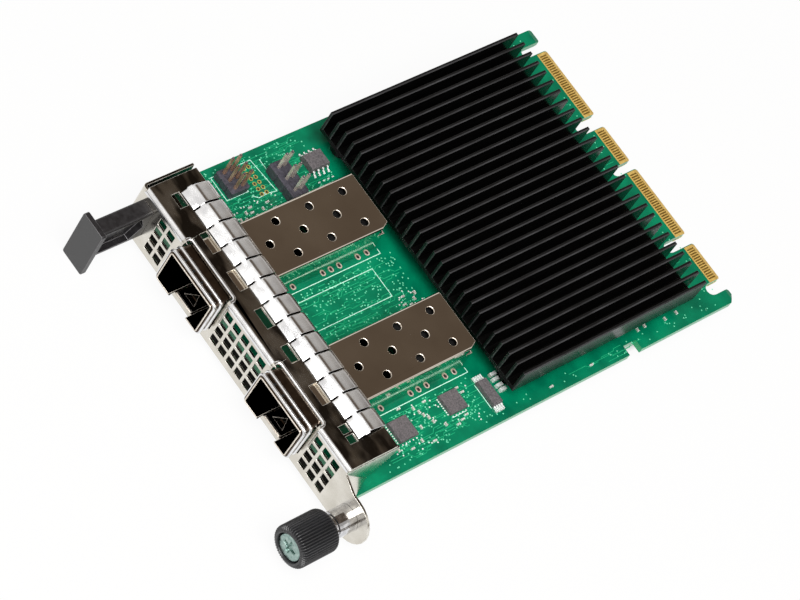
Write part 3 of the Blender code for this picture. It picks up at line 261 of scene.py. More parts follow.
def grain_noise(tree, grain, detail, stretch):
    """A noise of one grain size, in millimetres.

    It reads the object's own coordinates, which are metres, so its scale is 1 / grain in metres.
    """
    coordinates = add_node(tree, "ShaderNodeTexCoord").outputs["Object"]
    mapped = add_node(tree, "ShaderNodeMapping", {"Vector": coordinates, "Scale": stretch}).outputs[0]
    return add_node(
        tree, "ShaderNodeTexNoise", {"Vector": mapped, "Scale": 1 / (grain * MM), "Detail": detail}
    ).outputs["Fac"]


def dressed(tree, shader, grain, dark, light, roughness, bump=None, detail=3.0, stretch=(1, 1, 1)):
    """Lets a noise vary the colour, the roughness and, with a bump in millimetres, the height.

    The colour runs from dark to light, and the roughness between its two values, over the middle
    of the noise's range.
    """
    noise = grain_noise(tree, grain, detail, stretch)
    spread = ramp(tree, noise, *NOISE_MIDDLE)
    colour = mixed(tree, spread, hex_colour(dark), hex_colour(light))
    tree.links.new(colour, shader.inputs["Base Color"])
    tree.links.new(ramp(tree, spread, 0.0, 1.0, *roughness), shader.inputs["Roughness"])
    if bump:
        height = add_node(
            tree, "ShaderNodeBump", {"Height": noise, "Distance": bump * MM, "Strength": 1.0}
        ).outputs[0]
        tree.links.new(height, shader.inputs["Normal"])
    return colour


def simple_finish(
    name, dark, light, grain, roughness, bump=None, detail=3.0, stretch=(1, 1, 1), **inputs
):
    """A finish whose whole character is one noise over plain shader values."""
    sockets = {socket.replace("_", " "): value for socket, value in inputs.items()}
    made, tree, shader = new_finish(name, sockets)
    dressed(tree, shader, grain, dark, light, roughness, bump, detail, stretch)
    return made


def assign(finish, *nodes):
    """Gives solids that keep their own shape a finish, on all their material slots."""
    for name in nodes:
        mesh = frame["nodes"][name].data
        mesh.materials.clear()
        mesh.materials.append(finish)
    print(f"{finish.name}: {', '.join(nodes)}")


# %% [markdown]
# ## Soft edges
#
# No real edge is perfectly sharp: folded sheet, a sawn fin and a moulded corner all have a small
# round that catches a line of light. A Bevel modifier on the edges steeper than an angle gives a
# whole solid such rounds. The solid's own mesh stays as it is: the work is done on a copy. Its
# loose triangles are merged and its flat areas become single faces first, and the copy then stands
# for the solid.

# %% Softened copies
BODY_OF = {
    node: body for body, nodes in frame["record"]["behaviour"]["bodies"].items() for node in nodes
}
SAME_PLACE, SAME_PLANE = 1e-6, 0.5
STEEP, ROUND_STEPS = 50, 2
NEVER_CUT = 500


def softened(node, finish, width, other=None, chosen=None, edge=None, cut=5):
    """A copy of a solid: doubles merged, flat areas dissolved, steep edges bevelled.

    Flat areas with at least `cut` corners are cut into triangles again, along better lines than
    the solid's own, because one with many holes can be filled wrongly once its edges are bevelled.
    Faces that `chosen` picks from their centres and normals, in board millimetres, get the
    other finish, and the bevelled strips the edge's.
    """
    work = bmesh.new()
    work.from_mesh(frame["nodes"][node].data)
    bmesh.ops.remove_doubles(work, verts=work.verts, dist=SAME_PLACE)
    bmesh.ops.dissolve_limit(work, angle_limit=np.radians(SAME_PLANE), verts=work.verts, edges=work.edges)
    bmesh.ops.triangulate(work, faces=[face for face in work.faces if len(face.verts) >= cut])
    mesh = bpy.data.meshes.new(f"{node}_soft")
    work.to_mesh(mesh)
    work.free()
    mesh.shade_smooth()
    mesh.materials.clear()
    mesh.materials.append(finish)
    if other:
        mesh.materials.append(other)
        centres, normals = np.empty(len(mesh.polygons) * 3), np.empty(len(mesh.polygons) * 3)
        mesh.polygons.foreach_get("center", centres)
        mesh.polygons.foreach_get("normal", normals)
        picked = chosen((centres.reshape(-1, 3) - BOARD_ORIGIN) / MM, normals.reshape(-1, 3))
        mesh.polygons.foreach_set("material_index", picked.astype(np.int32))
    piece = linked(f"{node}_soft", mesh)
    bevel = piece.modifiers.new("soft_edges", "BEVEL")
    bevel.width = width * MM
    bevel.segments = ROUND_STEPS
    bevel.limit_method = "ANGLE"
    bevel.angle_limit = np.radians(STEEP)
    bevel.use_clamp_overlap = False
    bevel.loop_slide = False
    if edge:
        mesh.materials.append(edge)
        bevel.material = len(mesh.materials) - 1
    level = piece.modifiers.new("flat_faces_stay_flat", "WEIGHTED_NORMAL")
    level.weight = 100
    level.keep_sharp = True
    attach(piece, BODY_OF[node])
    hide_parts(node)
    print(f"{node}: softened, {len(mesh.polygons)} faces")


# %% [markdown]
# ## Camera
#
# The camera was solved from about fifty points of the photograph. It stands 0.76 m away with a
# long lens, so the card shows hardly any perspective, and it is rolled about its own axis. Three
# unit vectors say how it stands: its right, its up, and the way back from the card to it.

# %% Camera
CAMERA_PLACE = place((188.68, -463.23, 576.73))
CAMERA_RIGHT = (0.57365521, 0.72568534, 0.37986903)
CAMERA_UP = (-0.78197933, 0.34717822, 0.5176636)
CAMERA_BACK = (0.24377863, -0.59401015, 0.76663154)
SENSOR_WIDTH, LENS = 36.0, 165.27
camera_data = bpy.data.cameras.new("photo_camera")
camera_data.sensor_width = SENSOR_WIDTH
camera_data.lens = LENS
camera_data.clip_start = 10 * MM
camera = linked("photo_camera", camera_data)
stance = Matrix((CAMERA_RIGHT, CAMERA_UP, CAMERA_BACK)).transposed().to_4x4()
camera.matrix_world = Matrix.Translation(CAMERA_PLACE) @ stance
bpy.context.scene.camera = camera
print("camera at", CAMERA_PLACE.round(4))

# %% [markdown]
# ## Studio
#
# Bare metal shows little but what it mirrors, so the studio is laid out by what the photograph's
# metal shows. Upright plates mirror the white table. Faces that lean forwards mirror a large bright
# softbox on the camera's side. Level faces mirror what lies behind and above, a dim warm grey. The
# world's colour depends only on direction, so all of this holds from every view.

# %% World
BEHIND, LIFTED, SIDEWAYS, SKYLINE = (0.12, 0.34), (0.12, 0.50), (0.64, 0.46), (0.22, 0.14)
LIGHT_ROOM, DIM_ROOM = "#f6f4f1", "#62574c"
DIFFUSE_LEVEL = 0.36
scene = bpy.context.scene
scene.view_settings.view_transform = "Standard"
world = bpy.data.worlds.new("studio")
world.use_nodes = True
scene.world = world
sky = world.node_tree
backdrop = sky.nodes["Background"]
direction = add_node(sky, "ShaderNodeTexCoord").outputs["Generated"]
way = add_node(sky, "ShaderNodeSeparateXYZ", {0: direction}).outputs
behind = ramp(sky, way["Y"], *BEHIND)
lifted = ramp(sky, way["Z"], *LIFTED)
central = ramp(sky, computed(sky, "ABSOLUTE", way["X"]), *SIDEWAYS)
overhead = computed(sky, "MULTIPLY", computed(sky, "MULTIPLY", behind, lifted), central)
dim = computed(sky, "MAXIMUM", overhead, ramp(sky, way["Z"], *SKYLINE))
tone = mixed(sky, dim, hex_colour(LIGHT_ROOM), hex_colour(DIM_ROOM))
rays = add_node(sky, "ShaderNodeLightPath").outputs
seen = mixed(sky, rays["Is Camera Ray"], tone, (1, 1, 1, 1))
sky.links.new(seen, backdrop.inputs["Color"])
mirrored = computed(sky, "MAXIMUM", rays["Is Camera Ray"], rays["Is Glossy Ray"])
sky.links.new(ramp(sky, mirrored, 0.0, 1.0, DIFFUSE_LEVEL, 1.0), backdrop.inputs["Strength"])
print("world:", len(sky.nodes), "nodes")

# %% [markdown]
# The table is a white sheet under the card. The camera sees it mostly as pure white, so that it
# ends in the photograph's white and keeps a faint shadow. Right under the card it is seen only as
# it is lit, and behind the grille it carries a dark patch of painted shade, as between the grille's
# bars in the photograph. A rectangle is given by its middle, its half sizes and the widths of its
# soft edges.

# %% Table and softbox
TABLE_HALF = 3.0
UNDER_CARD = ((0.0, -3.65), (33.0, 53.65), (3.0, 0.4))
BEHIND_GRILLE = ((0.0, -53.6), (33.0, 3.2), (2.0, 0.8))
GLOW_SHARE = 0.93
corners = [(x * TABLE_HALF, y * TABLE_HALF, 0) for x, y in ((-1, -1), (1, -1), (1, 1), (-1, 1))]
floor_mesh = bpy.data.meshes.new("white_table")
floor_mesh.from_pydata(corners, [], [(0, 1, 2, 3)])
floor = linked("white_table", floor_mesh)
table_paper, paper, paper_shader = new_finish(
    "white_table_paper", {"Roughness": 0.9, "Specular IOR Level": 0.2}
)
paper_spot = add_node(paper, "ShaderNodeTexCoord").outputs["Object"]


def outside_patch(middle, halves, fades):
    """How far a spot of the table lies outside a rectangle: 0 inside it, 1 past its soft edge."""
    offset = add_node(
        paper, "ShaderNodeVectorMath", {0: paper_spot, 1: tuple(place((*middle, 0.0)))},
        operation="SUBTRACT",
    ).outputs[0]
    parts = add_node(paper, "ShaderNodeSeparateXYZ", {0: offset}).outputs
    clear = [
        ramp(paper, computed(paper, "ABSOLUTE", parts[axis]), half * MM, (half + fade) * MM)
        for axis, half, fade in zip("XY", halves, fades)
    ]
    return computed(paper, "MAXIMUM", *clear)


paper_rays = add_node(paper, "ShaderNodeLightPath").outputs
straight = computed(paper, "MAXIMUM", paper_rays["Is Camera Ray"], paper_rays["Is Glossy Ray"])
outside = computed(paper, "MULTIPLY", outside_patch(*UNDER_CARD), GLOW_SHARE)
glow = add_node(paper, "ShaderNodeEmission", {"Color": (1, 1, 1, 1), "Strength": 1.0}).outputs[0]
seen_paper = add_node(
    paper, "ShaderNodeMixShader",
    {0: computed(paper, "MULTIPLY", straight, outside), 1: paper_shader.outputs[0], 2: glow},
).outputs[0]
paper.links.new(seen_paper, paper.nodes["Material Output"].inputs["Surface"])
# painted shade: a dark patch on the table right behind the grille
shade = mixed(paper, outside_patch(*BEHIND_GRILLE), hex_colour("#3a3835"), hex_colour("#dddbd8"))
paper.links.new(shade, paper_shader.inputs["Base Color"])
floor_mesh.materials.append(table_paper)

softbox_data = bpy.data.lights.new("softbox", "AREA")
softbox_data.shape = "RECTANGLE"
softbox_data.size, softbox_data.size_y = 0.9, 0.6
softbox_data.energy = 12.5
softbox = linked("softbox", softbox_data)
softbox.location = (0.30, -0.30, 0.85)
softbox.rotation_euler = (-softbox.location).to_track_quat("-Z", "Y").to_euler()
print("studio ready")

# %% [markdown]
# ## Board
#
# The board is glass-fibre laminate under a coat of green solder mask. The mask is a thin satin
# lacquer: over copper it looks lighter and yellower, over bare laminate darker. A broad noise
# stands for the copper areas, and single tracks are strips of their own a hair above the board.
# The cut sides show the laminate, so the material tells top from side by its normal.

# %% Solder mask
SIDE_LIMIT = 0.6
mask, mask_tree, mask_shader = new_finish("solder_mask_green", {"IOR": 1.53})
mask_colour = dressed(
    mask_tree, mask_shader, 6.0, "#005f44", "#00825b", roughness=(0.15, 0.24), bump=0.006, detail=6.0
)
level_share = computed(mask_tree, "ABSOLUTE", uprightness(mask_tree))
side = computed(mask_tree, "LESS_THAN", level_share, SIDE_LIMIT)
with_sides = mixed(mask_tree, side, mask_colour, hex_colour("#1aa36b"))
mask_tree.links.new(with_sides, mask_shader.inputs["Base Color"])
assign(mask, "circuit_board")

# %% [markdown]
# ## Gold card edge
#
# Hard gold is plated over nickel, so it is bright and a little pale. Each contact is 0.40 mm wide
# on a 0.6 mm pitch, in four blades, on both faces. A contact is a thin plate with a small slope at
# its edges, which is what catches the light. Under the contacts lies a paler flash of gold, which
# runs down the bevel to the tip.

# %% Gold contacts
gold = simple_finish("hard_gold_plate", "#a5813c", "#c9a452", 0.9, (0.20, 0.32), Metallic=0.8)
pale_gold = simple_finish(
    "pale_gold_flash", "#cfa652", "#ecca76", 0.8, (0.30, 0.45), bump=0.004, Metallic=0.35
)
CONTACT_PITCH, CONTACT_HALF, CONTACT_HEIGHT = 0.6, 0.20, 0.04
CONTACT_START, CONTACT_END = 54.55, 56.55
BEVEL_START, BEVEL_FALL = 56.4, 0.35
FLASH_HEIGHT, FLASH_LEAD, SIDE_MARGIN, CORNER, TIP_GAP = 0.012, 0.3, 0.86, 0.4, 0.02
BLADES = ((-31.03, 28), (-9.53, 14), (2.43, 28), (23.23, 14))
contact_spots = [(first + CONTACT_PITCH * index, 0) for first, count in BLADES for index in range(count)]
top_contact = block(
    (-CONTACT_HALF, CONTACT_START, 0.0), (CONTACT_HALF, CONTACT_END, CONTACT_HEIGHT),
    inset=CONTACT_HEIGHT,
)


def blade_flash(first, count):
    """The flash on one blade: level behind the bevel, then sloping down to the chamfered tip."""
    left = first - SIDE_MARGIN
    right = first + (count - 1) * CONTACT_PITCH + SIDE_MARGIN
    stations = (
        (CONTACT_START - FLASH_LEAD, 0), (BEVEL_START, 0), (TIP_Y - CORNER, 0), (TIP_Y - TIP_GAP, CORNER),
    )
    rows = []
    for y, inset in stations:
        height = FLASH_HEIGHT - BEVEL_FALL * max(y - BEVEL_START, 0) / (TIP_Y - BEVEL_START)
        rows += [(left + inset, y, height), (right - inset, y, height)]
    return rows, grid_faces(len(stations), 2)


def underside(shape):
    """A shape on the board's top, mirrored to its lower face."""
    points, faces = shape
    return np.array(points) * (1, 1, -1) - (0, 0, BOARD_THICKNESS), np.asarray(faces)[:, ::-1]


flashes = [blade_flash(*blade) for blade in BLADES]
add_piece(
    "gold_contacts",
    joined(copies(top_contact, contact_spots), copies(underside(top_contact), contact_spots)),
    gold,
)
both_flashes = joined(*flashes, *[underside(flash) for flash in flashes])
add_piece("gold_flash", both_flashes, pale_gold)

# %% [markdown]
# ## Metal and plastic finishes
#
# The faceplate is zinc-plated steel, the cages nickel-plated copper alloy, and the springs bright
# tin-plated steel. They are full metals, told apart by colour and roughness. Sheared edges and pins
# scatter more light, so they are only partly metallic. The springs' bright tin finish is also laid
# on the faceplate's fold and notch rims and on the sleeves' beads, as a painted highlight. Plating
# is never quite even, so a noise moves its colour and roughness.

# %% Metals
zinc, zinc_tree, zinc_shader = new_finish("zinc_plated_steel", {"Metallic": 1.0})
plate_colour = dressed(
    zinc_tree, zinc_shader, 5.0, "#cfcabf", "#e6e2d9", roughness=(0.14, 0.24), bump=0.004
)
nickel = simple_finish("nickel_plated_cage", "#cdc3b7", "#e4dbcf", 14.0, (0.06, 0.14), Metallic=1.0)
# sheared edges: partly the bare metal of the cut, partly a painted highlight, as brighter finishes on the
# bevels
zinc_edge_highlight = simple_finish("sheared_zinc_edge_painted_highlight", "#b7b2a8", "#f3f0e8", 1.0, (0.20, 0.34), Metallic=0.8)
nickel_edge_highlight = simple_finish("sheared_nickel_edge_painted_highlight", "#d9cdbd", "#fbf3e8", 1.2, (0.22, 0.36), Metallic=0.55)
# painted shade: a near-black metal for the inner faces of the faceplate and the cages
inner_painted_shade = simple_finish("inner_faces_painted_shade", "#15110e", "#261f1a", 6.0, (0.12, 0.22), Metallic=1.0)
# bright tin of the springs, also a painted highlight on the faceplate's fold and rims and the sleeves'
# beads
tin_finish_and_highlight = simple_finish("tin_plate_and_painted_highlight", "#dcdcde", "#f6f6f6", 3.0, (0.16, 0.26), Metallic=1.0)
# painted dark reflection: the sleeves' steel darkened beside their bright beads
collar_painted_reflection = simple_finish("collar_steel_painted_dark_reflection", "#5c5148", "#7a6c60", 1.6, (0.08, 0.18), Metallic=1.0)
chrome = simple_finish("bright_chrome", "#b9b9bc", "#ececee", 1.1, (0.08, 0.26), bump=0.02, Metallic=1.0)
screw_zinc = simple_finish(
    "blue_zinc_screw", "#7a958f", "#b4c8c1", 0.7, (0.24, 0.44), bump=0.012, Metallic=1.0
)
pin_metal = simple_finish("tinned_pin_metal", "#b3a89c", "#f0e8de", 2.4, (0.22, 0.36), Metallic=0.4)
pin_copper = simple_finish("gilt_pin_metal", "#8f6a50", "#c9a48c", 2.4, (0.22, 0.36), Metallic=0.4)
wire = simple_finish("spring_wire", "#9c9ca0", "#bdbdc0", 1.5, (0.25, 0.35), Metallic=1.0)

# %% [markdown]
# The level top of the faceplate gets painted dark reflections: long dark blotches run along it
# beside the fold. A stretched noise, kept to faces that look up, darkens the metal.

# %% Painted reflections on the faceplate's top
LEVEL_FACES, REFLECTION_RANGE, REFLECTION_DEPTHS = (0.90, 0.99), (0.40, 0.58), (0.45, 0.93)
REFLECTION_SIZE, REFLECTION_STRETCH = 4.2, (0.55, 1.3, 1)
reflection_noise = grain_noise(zinc_tree, REFLECTION_SIZE, 2.0, REFLECTION_STRETCH)
upward = ramp(zinc_tree, uprightness(zinc_tree), *LEVEL_FACES)
# painted reflection: faces that look up are darkened in long blotches
reflection_share = computed(zinc_tree, "MULTIPLY", upward, ramp(zinc_tree, reflection_noise, *REFLECTION_RANGE, *REFLECTION_DEPTHS))
plate_tone = mixed(zinc_tree, reflection_share, plate_colour, hex_colour("#2b2520"))
zinc_tree.links.new(plate_tone, zinc_shader.inputs["Base Color"])

# %% [markdown]
# The inner faces of the faceplate and the cages never see the lamps, so they get a near-black
# metal of painted shade. Each piece's inner faces are told by where they lie and which way they
# look, in the board's frame. Sheared edges are brighter than the skin, partly a painted highlight.

# %% Metal pieces
FACING = 0.5
SHEET_ROUND = 0.09
PLATE_HALF, PLATE_BACK, WALL_START = 35.2, -58.0, -59.0
FLANGE_LOW, FLANGE_HIGH = 9.2, 9.8
LEFT_WALL, RIGHT_WALL = -35.0, 34.0
CAGE_INNER_HALF, CAGE_MIDDLE, CAGE_INNER_TOP, CAGE_FRONT = 6.9, 4.8, 9.4, -61.0


def inside_plate(centres, normals):
    """The faceplate's inner faces: its back, the flange's underside and the walls' insides."""
    x, y, z = centres.T
    within = np.abs(x) < PLATE_HALF
    back = within & (y < PLATE_BACK) & (normals[:, 1] > FACING)
    under = within & (z > FLANGE_LOW) & (z < FLANGE_HIGH) & (normals[:, 2] < -FACING)
    left = (x < LEFT_WALL) & (y > WALL_START) & (normals[:, 0] > FACING)
    right = (x > RIGHT_WALL) & (y > WALL_START) & (normals[:, 0] < -FACING)
    return back | under | left | right


softened(
    "faceplate", zinc, SHEET_ROUND, other=inner_painted_shade, chosen=inside_plate, edge=zinc_edge_highlight, cut=NEVER_CUT
)


def inside_cage(centres, normals):
    """A cage's inner faces: nearer to its axis than the outer skin, and looking towards it."""
    x, y, z = centres.T
    away = x - np.where(x < 0, *PORTS)
    sideways = (np.abs(away) < CAGE_INNER_HALF) & (away * normals[:, 0] < -0.1)
    upright = (z < CAGE_INNER_TOP) & ((z - CAGE_MIDDLE) * normals[:, 2] < -0.1)
    endways = (y > CAGE_FRONT) & (normals[:, 1] < -FACING)
    return sideways | upright | endways


for node in ("port_1_cage", "port_2_cage"):
    softened(node, nickel, SHEET_ROUND, other=inner_painted_shade, chosen=inside_cage, edge=nickel_edge_highlight)
softened("thumbscrew_stud", screw_zinc, 0.10)
assign(chrome, "thumbscrew_ferrule")
assign(screw_zinc, *[name for name in frame["nodes"] if "_screw_" in name])
assign(wire, "thumbscrew_spring")

# %% [markdown]
# Black anodised aluminium gets a painted highlight: each fin's top and front end are painted
# lighter than the fin, and lighter still in a band along one side of each, where the edges catch
# the light. The band is found from the X coordinate: the distance from the heatsink's left side,
# less whole fin pitches, is a place across one fin.

# %% Anodised aluminium
anodised = simple_finish(
    "black_anodised_aluminium", "#030303", "#080808", 0.6, (0.22, 0.34), stretch=(1, 0.1, 1),
    Specular_IOR_Level=0.25,
)
# painted highlight: fin tops and front ends lighter than the black fins, brightest in a band along one side
fin_edge_highlight, fin_light_tree, fin_light_shader = new_finish("anodised_edge_painted_highlight", {"Metallic": 0.3})
fin_light_colour = dressed(
    fin_light_tree, fin_light_shader, 0.8, "#2c2c2d", "#4a4a4c", (0.34, 0.46), stretch=(1, 0.1, 1)
)
SINK_HALF, FIN_THICKNESS, FIN_GAPS = 34.47, 0.75, 26
HIGHLIGHT_WIDTH, HIGHLIGHT_BLUR = 0.30, 0.04
FIN_PITCH = (2 * SINK_HALF - FIN_THICKNESS) / FIN_GAPS
FIN_TOP, FIN_FOOT = 10.3, 5.2
fin_light_place = add_node(fin_light_tree, "ShaderNodeTexCoord").outputs["Object"]
fin_light_x = add_node(fin_light_tree, "ShaderNodeSeparateXYZ", {0: fin_light_place}).outputs["X"]
from_left = computed(fin_light_tree, "SUBTRACT", fin_light_x, place((-SINK_HALF, 0, 0))[0])
across_fin = computed(fin_light_tree, "MODULO", from_left, FIN_PITCH * MM)
highlight_start = FIN_THICKNESS - HIGHLIGHT_WIDTH
highlight_band = ramp(
    fin_light_tree, across_fin, (highlight_start - HIGHLIGHT_BLUR) * MM, (highlight_start + HIGHLIGHT_BLUR) * MM
)
fin_light_tone = mixed(fin_light_tree, highlight_band, hex_colour("#0b0b0c"), fin_light_colour)
fin_light_tree.links.new(fin_light_tone, fin_light_shader.inputs["Base Color"])


def fin_edges(centres, normals):
    """The fins' narrow edge faces: their level tops and their sloped and upright front ends."""
    tops = (normals[:, 2] > 0.6) & (centres[:, 2] > FIN_TOP)
    fronts = (normals[:, 1] < -0.3) & (centres[:, 2] > FIN_FOOT)
    return tops | fronts


softened("heatsink", anodised, 0.07, other=fin_edge_highlight, chosen=fin_edges)

# %% [markdown]
# Plastics, chips and small parts each have their own tone. The tab's end plate, which faces the
# front, is painted paler than its arm, painted light, and the tab's rounded edges paler still, a
# painted highlight. A chip's leads belong to its solid, so they are told by their distance from
# its outer sides.

# %% Plastics, chips and ceramics
# black moulding of the connectors, also used as painted shade in the sleeves' holes
black_plastic_and_shade = simple_finish(
    "black_plastic_and_painted_shade", "#060506", "#0d0c0c", 0.5, (0.5, 0.6), Specular_IOR_Level=0.25
)
header_plastic = simple_finish(
    "grey_header_plastic", "#34323a", "#4c4a54", 0.6, (0.42, 0.55), bump=0.01, IOR=1.5
)
epoxy = simple_finish(
    "chip_epoxy", "#423f41", "#6e686a", 0.3, (0.50, 0.62), bump=0.02, detail=5.0, IOR=1.55
)
nylon = simple_finish(
    "glass_filled_nylon", "#1a1a1b", "#303032", 0.25, (0.26, 0.38), bump=0.010, IOR=1.6
)
tab_plastic = simple_finish(
    "satin_tab_plastic", "#131113", "#1c1a1c", 1.0, (0.34, 0.44), bump=0.006, IOR=1.58
)
# painted light: the tab's front end plate lighter than its arm, and its edges lighter still, a painted
# highlight
tab_front_light = simple_finish("tab_front_painted_light", "#303031", "#39393a", 1.4, (0.40, 0.50), IOR=1.58)
tab_edge_highlight = simple_finish("tab_edge_painted_highlight", "#4c4a4c", "#6a686a", 1.0, (0.40, 0.50), IOR=1.58)
ceramic = simple_finish("capacitor_ceramic", "#a39c90", "#d3cec5", 0.4, (0.5, 0.6), IOR=1.6)
lead_tin = simple_finish("dipped_lead_tin", "#d5dad6", "#fcfdfc", 0.5, (0.28, 0.42), Metallic=0.25)
rubber = simple_finish("soft_pad_rubber", "#8a9299", "#99a1a8", 0.4, (0.8, 0.9), IOR=1.45)
substrate = simple_finish("chip_substrate", "#0c4a33", "#125a40", 0.8, (0.4, 0.5), IOR=1.53)
TAB_PLATE_FRONT = -72.0
LEAD_REACH = 0.97
softened(
    "pull_tab", tab_plastic, 0.10, edge=tab_edge_highlight, other=tab_front_light,
    chosen=lambda centres, normals: (centres[:, 1] < TAB_PLATE_FRONT) & (normals[:, 1] < -0.8),
)
for node in ("small_pin_header", "large_pin_header"):
    softened(node, header_plastic, 0.06)


def outside_package(node, margin):
    """A test for a chip's leads: faces nearer than a margin to the solid's two outer sides in X."""
    low, high = board_box(node)

    def outside(centres, normals):
        return (centres[:, 0] < low[0] + margin) | (centres[:, 0] > high[0] - margin)

    return outside


for node in ("memory_chip", "clock_chip"):
    softened(node, epoxy, 0.05, other=lead_tin, chosen=outside_package(node, LEAD_REACH))
for node in ("regulator_chip_1", "regulator_chip_2"):
    softened(node, epoxy, 0.05)
assign(black_plastic_and_shade, "port_1_connector", "port_2_connector")
assign(ceramic, "capacitor_1", "capacitor_2", "capacitor_3", "capacitor_4")
assign(rubber, "thermal_pad")
assign(substrate, "controller_chip")

# %% [markdown]
# ## Finger strip
#
# The spring strip is one thin sheet, pressed into a smooth arch and slit from both long edges. Its
# section is a path of a few measured points, walked in even steps and averaged with its
# neighbours, so that the crest comes out round. Each finger is that path carried across its width.
# Where a slit runs, the finger's sides draw in by half the gap and its edges roll down a little. A
# Solidify modifier then gives the sheet its thickness.

# %% Arched fingers
STRIP_PATH = [
    (-52.85, 10.38), (-50.40, 11.88), (-50.05, 12.0), (-49.65, 11.92), (-47.85, 11.35), (-46.25, 10.9),
    (-45.35, 10.3), (-44.95, 9.6),
]
STRIP_METAL = 0.13
FINGERS = 13
SLIT_HALF = 0.19
FRONT_SLIT_END, REAR_SLIT_START, SLIT_FADE = -51.45, -50.65, 0.25
EDGE_ROLL = 0.10


def smoothed(path, step, reach):
    """A path in even steps of its length, each point the mean of its neighbours within a reach."""
    path = np.asarray(path, float)
    length = np.concatenate([[0], np.cumsum(np.linalg.norm(np.diff(path, axis=0), axis=1))])
    at = np.linspace(0, length[-1], int(length[-1] / step) + 1)
    even = np.stack([np.interp(at, length, path[:, axis]) for axis in range(2)], -1)
    side = int(reach / step)
    padded = np.pad(even, ((side, side), (0, 0)), mode="reflect", reflect_type="odd")
    window = np.full(2 * side + 1, 1 / (2 * side + 1))
    return np.stack([np.convolve(padded[:, axis], window, mode="valid") for axis in range(2)], -1)


section = smoothed(STRIP_PATH, 0.12, 0.48)
strip_low, strip_high = board_box("finger_strip")
finger_pitch = (strip_high[0] - strip_low[0]) / FINGERS
into_slit = np.maximum(FRONT_SLIT_END - section[:, 0], section[:, 0] - REAR_SLIT_START)
slit = np.clip(into_slit / SLIT_FADE, 0, 1)
across = np.array([-1, -0.94, -0.8, -0.4, 0, 0.4, 0.8, 0.94, 1])
half_width = finger_pitch / 2 - SLIT_HALF * slit
finger = np.stack([
    across[None, :] * half_width[:, None],
    np.broadcast_to(section[:, :1], (len(section), len(across))),
    section[:, 1:] - EDGE_ROLL * slit[:, None] * np.abs(across[None, :]) ** 8,
], -1).reshape(-1, 3)
finger_faces = grid_faces(len(section), len(across))[:, ::-1]
finger_spots = [(strip_low[0] + finger_pitch * (index + 0.5), 0) for index in range(FINGERS)]
fingers = copies((finger, finger_faces), finger_spots)
strip = add_piece("arched_fingers", fingers, tin_finish_and_highlight, smooth=True)
sheet = strip.modifiers.new("sheet", "SOLIDIFY")
sheet.thickness = STRIP_METAL * MM
sheet.offset = 1.0
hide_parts("finger_strip")

# %% [markdown]
# ## Beads of the collars
#
# Round each cage behind its mouth, the sprung sleeve has two rolled beads, and the faceplate has
# one more at its notch. A bead is a half-round rod: it gathers the light of half the room, so it
# stands out white beside flat metal that mirrors one dark patch. Each is a half-circle carried
# round the outline of the sleeve, a rectangle with rounded corners. The beads also get a brighter
# finish than the sleeve, a painted highlight, and the sleeve a darkened steel, a painted dark
# reflection. The small square holes between the beads are black plates of painted shade just
# above the sleeve's top.

# %% Rolled beads
def rounded_loop(left, right, low, high, radius, steps=6):
    """Points and outward directions round a rectangle with rounded corners, in X and Z."""
    quarter = np.linspace(0, np.pi / 2, steps)
    corners = ((right, high, 0), (left, high, 1), (left, low, 2), (right, low, 3))
    points, outward = [], []
    for x, z, turns in corners:
        angle = quarter + turns * np.pi / 2
        way = np.stack([np.cos(angle), np.sin(angle)], -1)
        middle = (x - radius * np.sign(way[steps // 2, 0]), z - radius * np.sign(way[steps // 2, 1]))
        points.append(middle + radius * way)
        outward.append(way)
    return np.concatenate(points), np.concatenate(outward)


LATCH_OFFSET, LATCH_HALF = 0.4, 3.0
SLEEVE_HALF, SLEEVE_TOP, SLEEVE_CORNER = 7.05, 9.6, 0.7


def sleeve_loop(centre, cut):
    """The loop round a cage from the right of its floor's notch to the left of it, or closed."""
    loop = rounded_loop(centre - SLEEVE_HALF, centre + SLEEVE_HALF, 0.0, SLEEVE_TOP, SLEEVE_CORNER)
    points, outward = (np.roll(part, len(part) // 4, axis=0) for part in loop)
    if cut:
        ends = centre + LATCH_OFFSET + np.array([LATCH_HALF, -LATCH_HALF])
        points = np.concatenate([[(ends[0], 0.0)], points, [(ends[1], 0.0)]])
        outward = np.concatenate([[(0, -1)], outward, [(0, -1)]])
    return points, outward


def sleeve(centre, profile, cut):
    """A profile of (y, distance out) carried round a cage: each loop point moved out by it."""
    loop, outward = sleeve_loop(centre, cut)
    along, out = np.asarray(profile, float).T
    flat = loop[None] + outward[None] * out[:, None, None]
    points = np.stack([flat[..., 0], np.broadcast_to(along[:, None], flat.shape[:2]), flat[..., 1]], -1)
    return points.reshape(-1, 3), grid_faces(len(along), len(loop), wrap_columns=not cut)


def bead_profile(y, radius=0.36, start=0.30, count=9):
    """A half-circle's (y, distance out)."""
    angle = np.linspace(0, np.pi, count)
    return np.stack([y - radius * np.cos(angle), start + radius * np.sin(angle)], -1)


